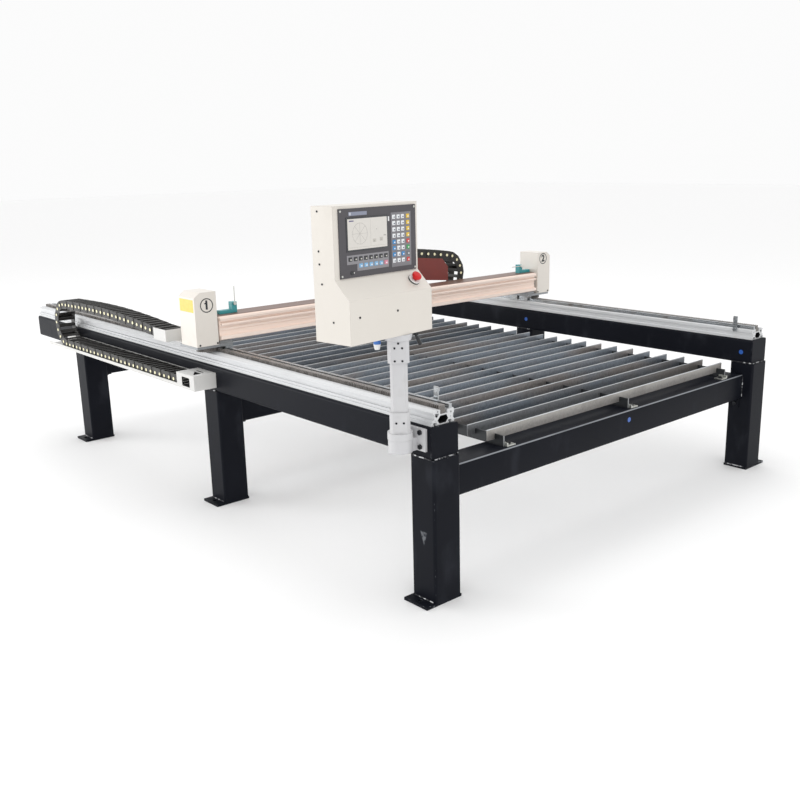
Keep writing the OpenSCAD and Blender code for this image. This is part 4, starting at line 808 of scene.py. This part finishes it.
# Console. A box of folded sheet with a sloped shelf, sprayed warm white; it turns on the post, so
# its pieces are set out from its lower front left corner.
console_paint, shader, at = material("console_paint", {"Coat Weight": 0.2, "Coat Roughness": 0.35})
mark = at.noise(7, 6).step(0.58, 0.84)
rub = at.edges(0.003) * at.noise(40, 4).step(0.52, 0.7)
warm = (mark * 0.25).mix(at.noise(3, 3).mix(tone("#d9d3ca"), tone("#e0dbd3")), tone("#c9c2b8"))
dress(shader, {
    "Base Color": (rub * 0.35).mix(warm, tone("#aeaaa2")),
    "Roughness": mark * 0.2 + 0.36,
    "Normal": at.relief(at.noise(460, 2), 0.0001, 0.002)})
coat(console_paint, "console_box")

desk_w, desk_d, desk_h = 0.364, 0.148, 0.400
step_v, slope_low, slope_high, panel_t = 0.057, 0.132, 0.188, 0.003
face_v = step_v - panel_t
desk_turn, axis_u_share, axis_v_share = math.radians(6.8), 0.672, 0.27
desk = (Matrix.Translation((axis.x, axis.y, axis_high.z)) @ Matrix.Rotation(desk_turn, 4, "Z")
        @ Matrix.Translation((-axis_u_share * desk_w, -axis_v_share * desk_d, 0)))
side_shares = ((0.82, 0.962), (0.82, 0.675), (0.81, 0.58), (0.76, 0.435), (0.47, 0.16))
front_shares, front_z_share = (0.11, 0.56), 0.2
panel_us, panel_zs = (0.0270, 0.3472), (0.1970, 0.3840)
side_screw_r, front_screw_r, panel_screw_r = 0.0032, 0.0035, 0.0034
bm = bmesh.new()
for v, z in side_shares:
    screw(bm, desk @ Matrix.Translation((0, v * desk_d, z * desk_h)) @ to_left, side_screw_r)
for u in front_shares:
    screw(bm, desk @ Matrix.Translation((u * desk_w, 0, front_z_share * desk_h)) @ to_front, front_screw_r)
for f in bm.faces:
    f.material_index = 1
for u in panel_us:
    for z in panel_zs:
        screw(bm, desk @ Matrix.Translation((u, face_v, z)) @ to_front, panel_screw_r)
piece(bm, "console_screw_heads", [zinc, black_steel], "console", "console_screws")

# Control panel. A dark grey moulded bezel, screwed on at its corners, with a lighter keypad membrane, a
# stepped strip of function keys, a blank badge and a small window.
bezel, shader, at = material("panel_bezel", {"Specular IOR Level": 0.4})
grain = at.noise(900, 3)
dress(shader, {
    "Base Color": at.noise(8, 4).mix(tone("#48464a"), tone("#545256")),
    "Roughness": grain * 0.25 + 0.35,
    "Normal": at.relief(grain, 0.00008, 0.0015)})
coat(bezel, "control_panel")


def tinted(name):
    """A plastic that takes its colour from the piece's own tint attribute."""
    new, shader, at = material(name, {"Coat Weight": 0.2})
    tint = at.make("ShaderNodeAttribute", {"attribute_name": "tint"}, {})
    worn = at.noise(120, 4)
    dress(shader, {
        "Base Color": (worn * 0.18).mix(tint, tone("#8c8f94")),
        "Roughness": worn * 0.2 + 0.32})
    return new, shader, tint


def field(bm, u, z, v, thick, colour, rounding):
    """A tinted plate of the panel between two u and two z, its face at depth v; returns its vertices."""
    layer = bm.loops.layers.float_color.get("tint") or bm.loops.layers.float_color.new("tint")
    verts = block(bm, (u[0], v, z[0]), (u[1], v + thick, z[1]), rounding, 2)
    for vert in verts:
        for loop in vert.link_loops:
            loop[layer] = tone(colour)
    return verts


membrane = tinted("panel_membrane")[0]
bm = bmesh.new()
for u, z, proud, thick, colour, rounding in (
        ((0.2405, 0.3310), (0.2050, 0.3705), 0.0008, 0.0010, "#77757a", 0.0006),  # keypad
        ((0.0480, 0.2270), (0.2660, 0.3660), 0.0012, 0.0014, "#1d1f23", 0.0006),  # frame of the display
        ((0.0480, 0.2270), (0.2290, 0.2560), 0.0008, 0.0010, "#88868a", 0.0006),  # upper strip
        ((0.0900, 0.2270), (0.2080, 0.2290), 0.0008, 0.0010, "#88868a", 0.0006),  # lower strip
        ((0.0610, 0.1370), (0.3700, 0.3810), 0.0006, 0.0008, "#868b9e", 0.0006),  # badge
        ((0.0625, 0.0705), (0.3715, 0.3795), 0.0009, 0.0010, "#c3c6cf", 0.0006),  # square on the badge
        ((0.2265, 0.2325), (0.3460, 0.3600), 0.0016, 0.0008, "#eceded", 0.0006),  # tab by the display
        ((0.0620, 0.0720), (0.1990, 0.2090), 0.0010, 0.0012, "#17181b", 0.0020),  # window
        ((0.0745, 0.0785), (0.2020, 0.2060), 0.0010, 0.0012, "#d9d9d6", 0.0008)):  # mark by the window
    field(bm, u, z, face_v - proud, thick, colour, rounding)
bmesh.ops.transform(bm, matrix=desk, verts=bm.verts)
piece(bm, "panel_fields", [membrane], "console")

keycap = tinted("keycap")[0]
white, yellow, blue, grey = "#eceff1", "#e9c22e", "#2b86c5", "#6a6f77"
red, green, deep_red = "#cf2f2c", "#2f9e4f", "#d02d2a"
rows = 4 * ((white, white, white, yellow),) + ((blue, white, white, red), (blue, white, white, green),
                                               (blue, white, blue, grey), (white, white, white, deep_red))
columns, top_share, row_share = (0.675, 0.731, 0.785, 0.850), 0.8775, 0.0475
strip_share, strip_step, upper_share, lower_share = 0.148, 0.060, 0.595, 0.543
key_w, key_h, strip_w, key_t, print_t, print_out = 0.0138, 0.0125, 0.0155, 0.0020, 0.0003, 0.0001
key_round, print_round, print_u_shares, print_z_shares = 0.0012, 0.00008, (0.42, 0.80), (0.25, 0.55)


def key(bm, u, z, w, colour, mark):
    """A key with its lower left corner at u, z and a small blank print on it."""
    v = face_v - key_t
    field(bm, (u, u + w), (z, z + key_h), v, key_t, colour, key_round)
    print_u = [u + share * w for share in print_u_shares]
    print_z = [z + share * key_h for share in print_z_shares]
    field(bm, print_u, print_z, v - print_out, print_t, mark, print_round)


bm = bmesh.new()
for row, colours in enumerate(rows):
    for share, colour in zip(columns, colours):
        key(bm, share * desk_w, (top_share - row_share * row) * desk_h, key_w, colour,
            "#2c3a5e" if colour == white else "#f4f4f2")
for i in range(8):
    u = (strip_share + strip_step * i) * desk_w
    key(bm, u, upper_share * desk_h, strip_w, "#101114", "#c9c7be")
    if i >= 2:
        key(bm, u, lower_share * desk_h, strip_w, "#7fb4dc" if i < 7 else "#d9849a", "#eef3f7")
bmesh.ops.transform(bm, matrix=desk, verts=bm.verts)
piece(bm, "key_caps", [keycap], "console", "panel_keys")

# Display. Glass over a lit screen, let into the bezel: it shows a round plot crossed by its axes, with
# a few plain marks beside it.
glass, shader, tint = tinted("display_glass")
shader.inputs["Coat Weight"].default_value = 1.0
shader.inputs["Coat Roughness"].default_value = 0.05
shader.inputs["Emission Strength"].default_value = 0.12
dress(shader, {"Emission Color": tint})
bm = bmesh.new()
screen_u = [share * desk_w for share in (0.148, 0.607)]
screen_z = [share * desk_h for share in (0.678, 0.902)]
glass_t, line_t, line_out, glass_round, line_round = 0.0022, 0.0003, 0.0002, 0.0006, 0.00008
glass_v = face_v - glass_t
line_v = glass_v - line_out
field(bm, screen_u, screen_z, glass_v, glass_t, "#cfcbc4", glass_round)
for u, z, colour in (
        ((0.0600, 0.0790), (0.3530, 0.3565), "#4c4472"), ((0.1490, 0.1494), (0.2790, 0.3560), "#9a9791"),
        ((0.0580, 0.2180), (0.2775, 0.2780), "#a3a099"), ((0.1580, 0.1720), (0.2880, 0.2980), "#b5b1a9"),
        ((0.1620, 0.1650), (0.2900, 0.2925), "#5d5b58"), ((0.1880, 0.2010), (0.2900, 0.3010), "#b5b1a9"),
        ((0.1920, 0.1950), (0.2930, 0.2955), "#5d5b58"), ((0.1740, 0.1760), (0.3250, 0.3270), "#5d5b58"),
        ((0.2050, 0.2150), (0.3050, 0.3070), "#77746f")):
    field(bm, u, z, line_v, line_t, colour, line_round)


def stroke(bm, a, b, colour):
    """A thin line on the display between two points."""
    length = math.dist(a, b)
    verts = field(bm, (a[0], a[0] + length), (a[1] - line_t, a[1] + line_t), line_v, line_t, colour,
                  line_round)
    bmesh.ops.rotate(bm, verts=verts, cent=(a[0], 0, a[1]),
                     matrix=Matrix.Rotation(-math.atan2(b[1] - a[1], b[0] - a[0]), 3, "Y"))


plot_u, plot_z, plot_r, sides = 0.1040, 0.3170, 0.0310, 24
angles = [2 * math.pi * i / sides for i in range(sides)]
around = [(plot_u + plot_r * math.cos(t), plot_z + plot_r * math.sin(t)) for t in angles]
for i in range(sides):
    stroke(bm, around[i], around[(i + 1) % sides], "#8b8883")
for i in range(0, sides // 2, 3):
    stroke(bm, around[i], around[i + sides // 2], "#95928c")
bmesh.ops.transform(bm, matrix=desk, verts=bm.verts)
piece(bm, "display", [glass], "console", "panel_screen")

# Emergency stop. A red mushroom button of moulded plastic on a black and white collar, set square on the
# sloped shelf; its stem slides in the collar.
red_plastic, shader, at = material("red_plastic", {
    "Coat Weight": 0.15, "Coat Roughness": 0.15, "Specular IOR Level": 0.3})
dress(shader, {
    "Base Color": at.noise(70, 4).mix(tone("#c00d0e"), tone("#d21a18")),
    "Roughness": at.noise(260, 3) * 0.15 + 0.25})
collar_plastic, shader, at = material("collar_plastic", {})
dress(shader, {
    "Base Color": at.noise(90, 4).mix(tone("#d9dad8"), tone("#efefed")),
    "Roughness": at.noise(260, 3) * 0.2 + 0.3})

slope, stop_share = math.atan2(slope_high - slope_low, step_v), 0.855
shelf = (desk @ Matrix.Translation((stop_share * desk_w, step_v / 2, (slope_low + slope_high) / 2))
         @ Matrix.Rotation(slope, 4, "X"))
hole_r, base_r, ring_r, lip_r = 0.0086, 0.0196, 0.0188, 0.0165
base_low, base_high, ring_low, ring_high = 0.0003, 0.0036, 0.0038, 0.0070
base_outline = ((hole_r, base_low), (base_r, base_low), (base_r, base_high), (hole_r, base_high),
                (hole_r, base_low))
ring_outline = ((hole_r, ring_low), (ring_r, ring_low), (ring_r, 0.0062), (0.0180, 0.0076), (0.0170, 0.0080),
                (lip_r, 0.0080), (lip_r, ring_high), (hole_r, ring_high), (hole_r, ring_low))
stem_r, stem_low = 0.0080, 0.0075
button_outline = ((0, stem_low), (stem_r, stem_low), (stem_r, 0.0140), (0.0130, 0.0142), (0.0150, 0.0160),
                  (0.0160, 0.0195), (0.0158, 0.0220), (0.0145, 0.0248), (0.0120, 0.0262), (0.0080, 0.0266),
                  (0, 0.0267))
bm = bmesh.new()
lathe(bm, base_outline, shelf)
for f in bm.faces:
    f.material_index = 1
lathe(bm, ring_outline, shelf)
piece(bm, "stop_collar", [collar_plastic, lever_plastic], "console", "emergency_stop_collar")
bm = bmesh.new()
lathe(bm, button_outline, shelf)
piece(bm, "stop_button", [red_plastic], "emergency_stop_button", "emergency_stop_button")

# Cable gland. A hexagon and a clamping ring of blue nylon, screwed into the console's floor, with a white
# cap.
gland_nylon, shader, at = material("gland_nylon", {})
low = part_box("cable_gland")[0].z
cap_h, cap_blur = 0.0180, 0.0010
cap = 1 - at.axis(2).step(low + cap_h - cap_blur, low + cap_h)
dress(shader, {
    "Base Color": cap.mix(at.noise(80, 3).mix(tone("#2c63b8"), tone("#4d86d4")), tone("#eceded")),
    "Roughness": at.noise(250, 3) * 0.2 + 0.3,
    "Normal": at.relief(at.noise(500, 2), 0.00005, 0.0015)})
coat(gland_nylon, "cable_gland")
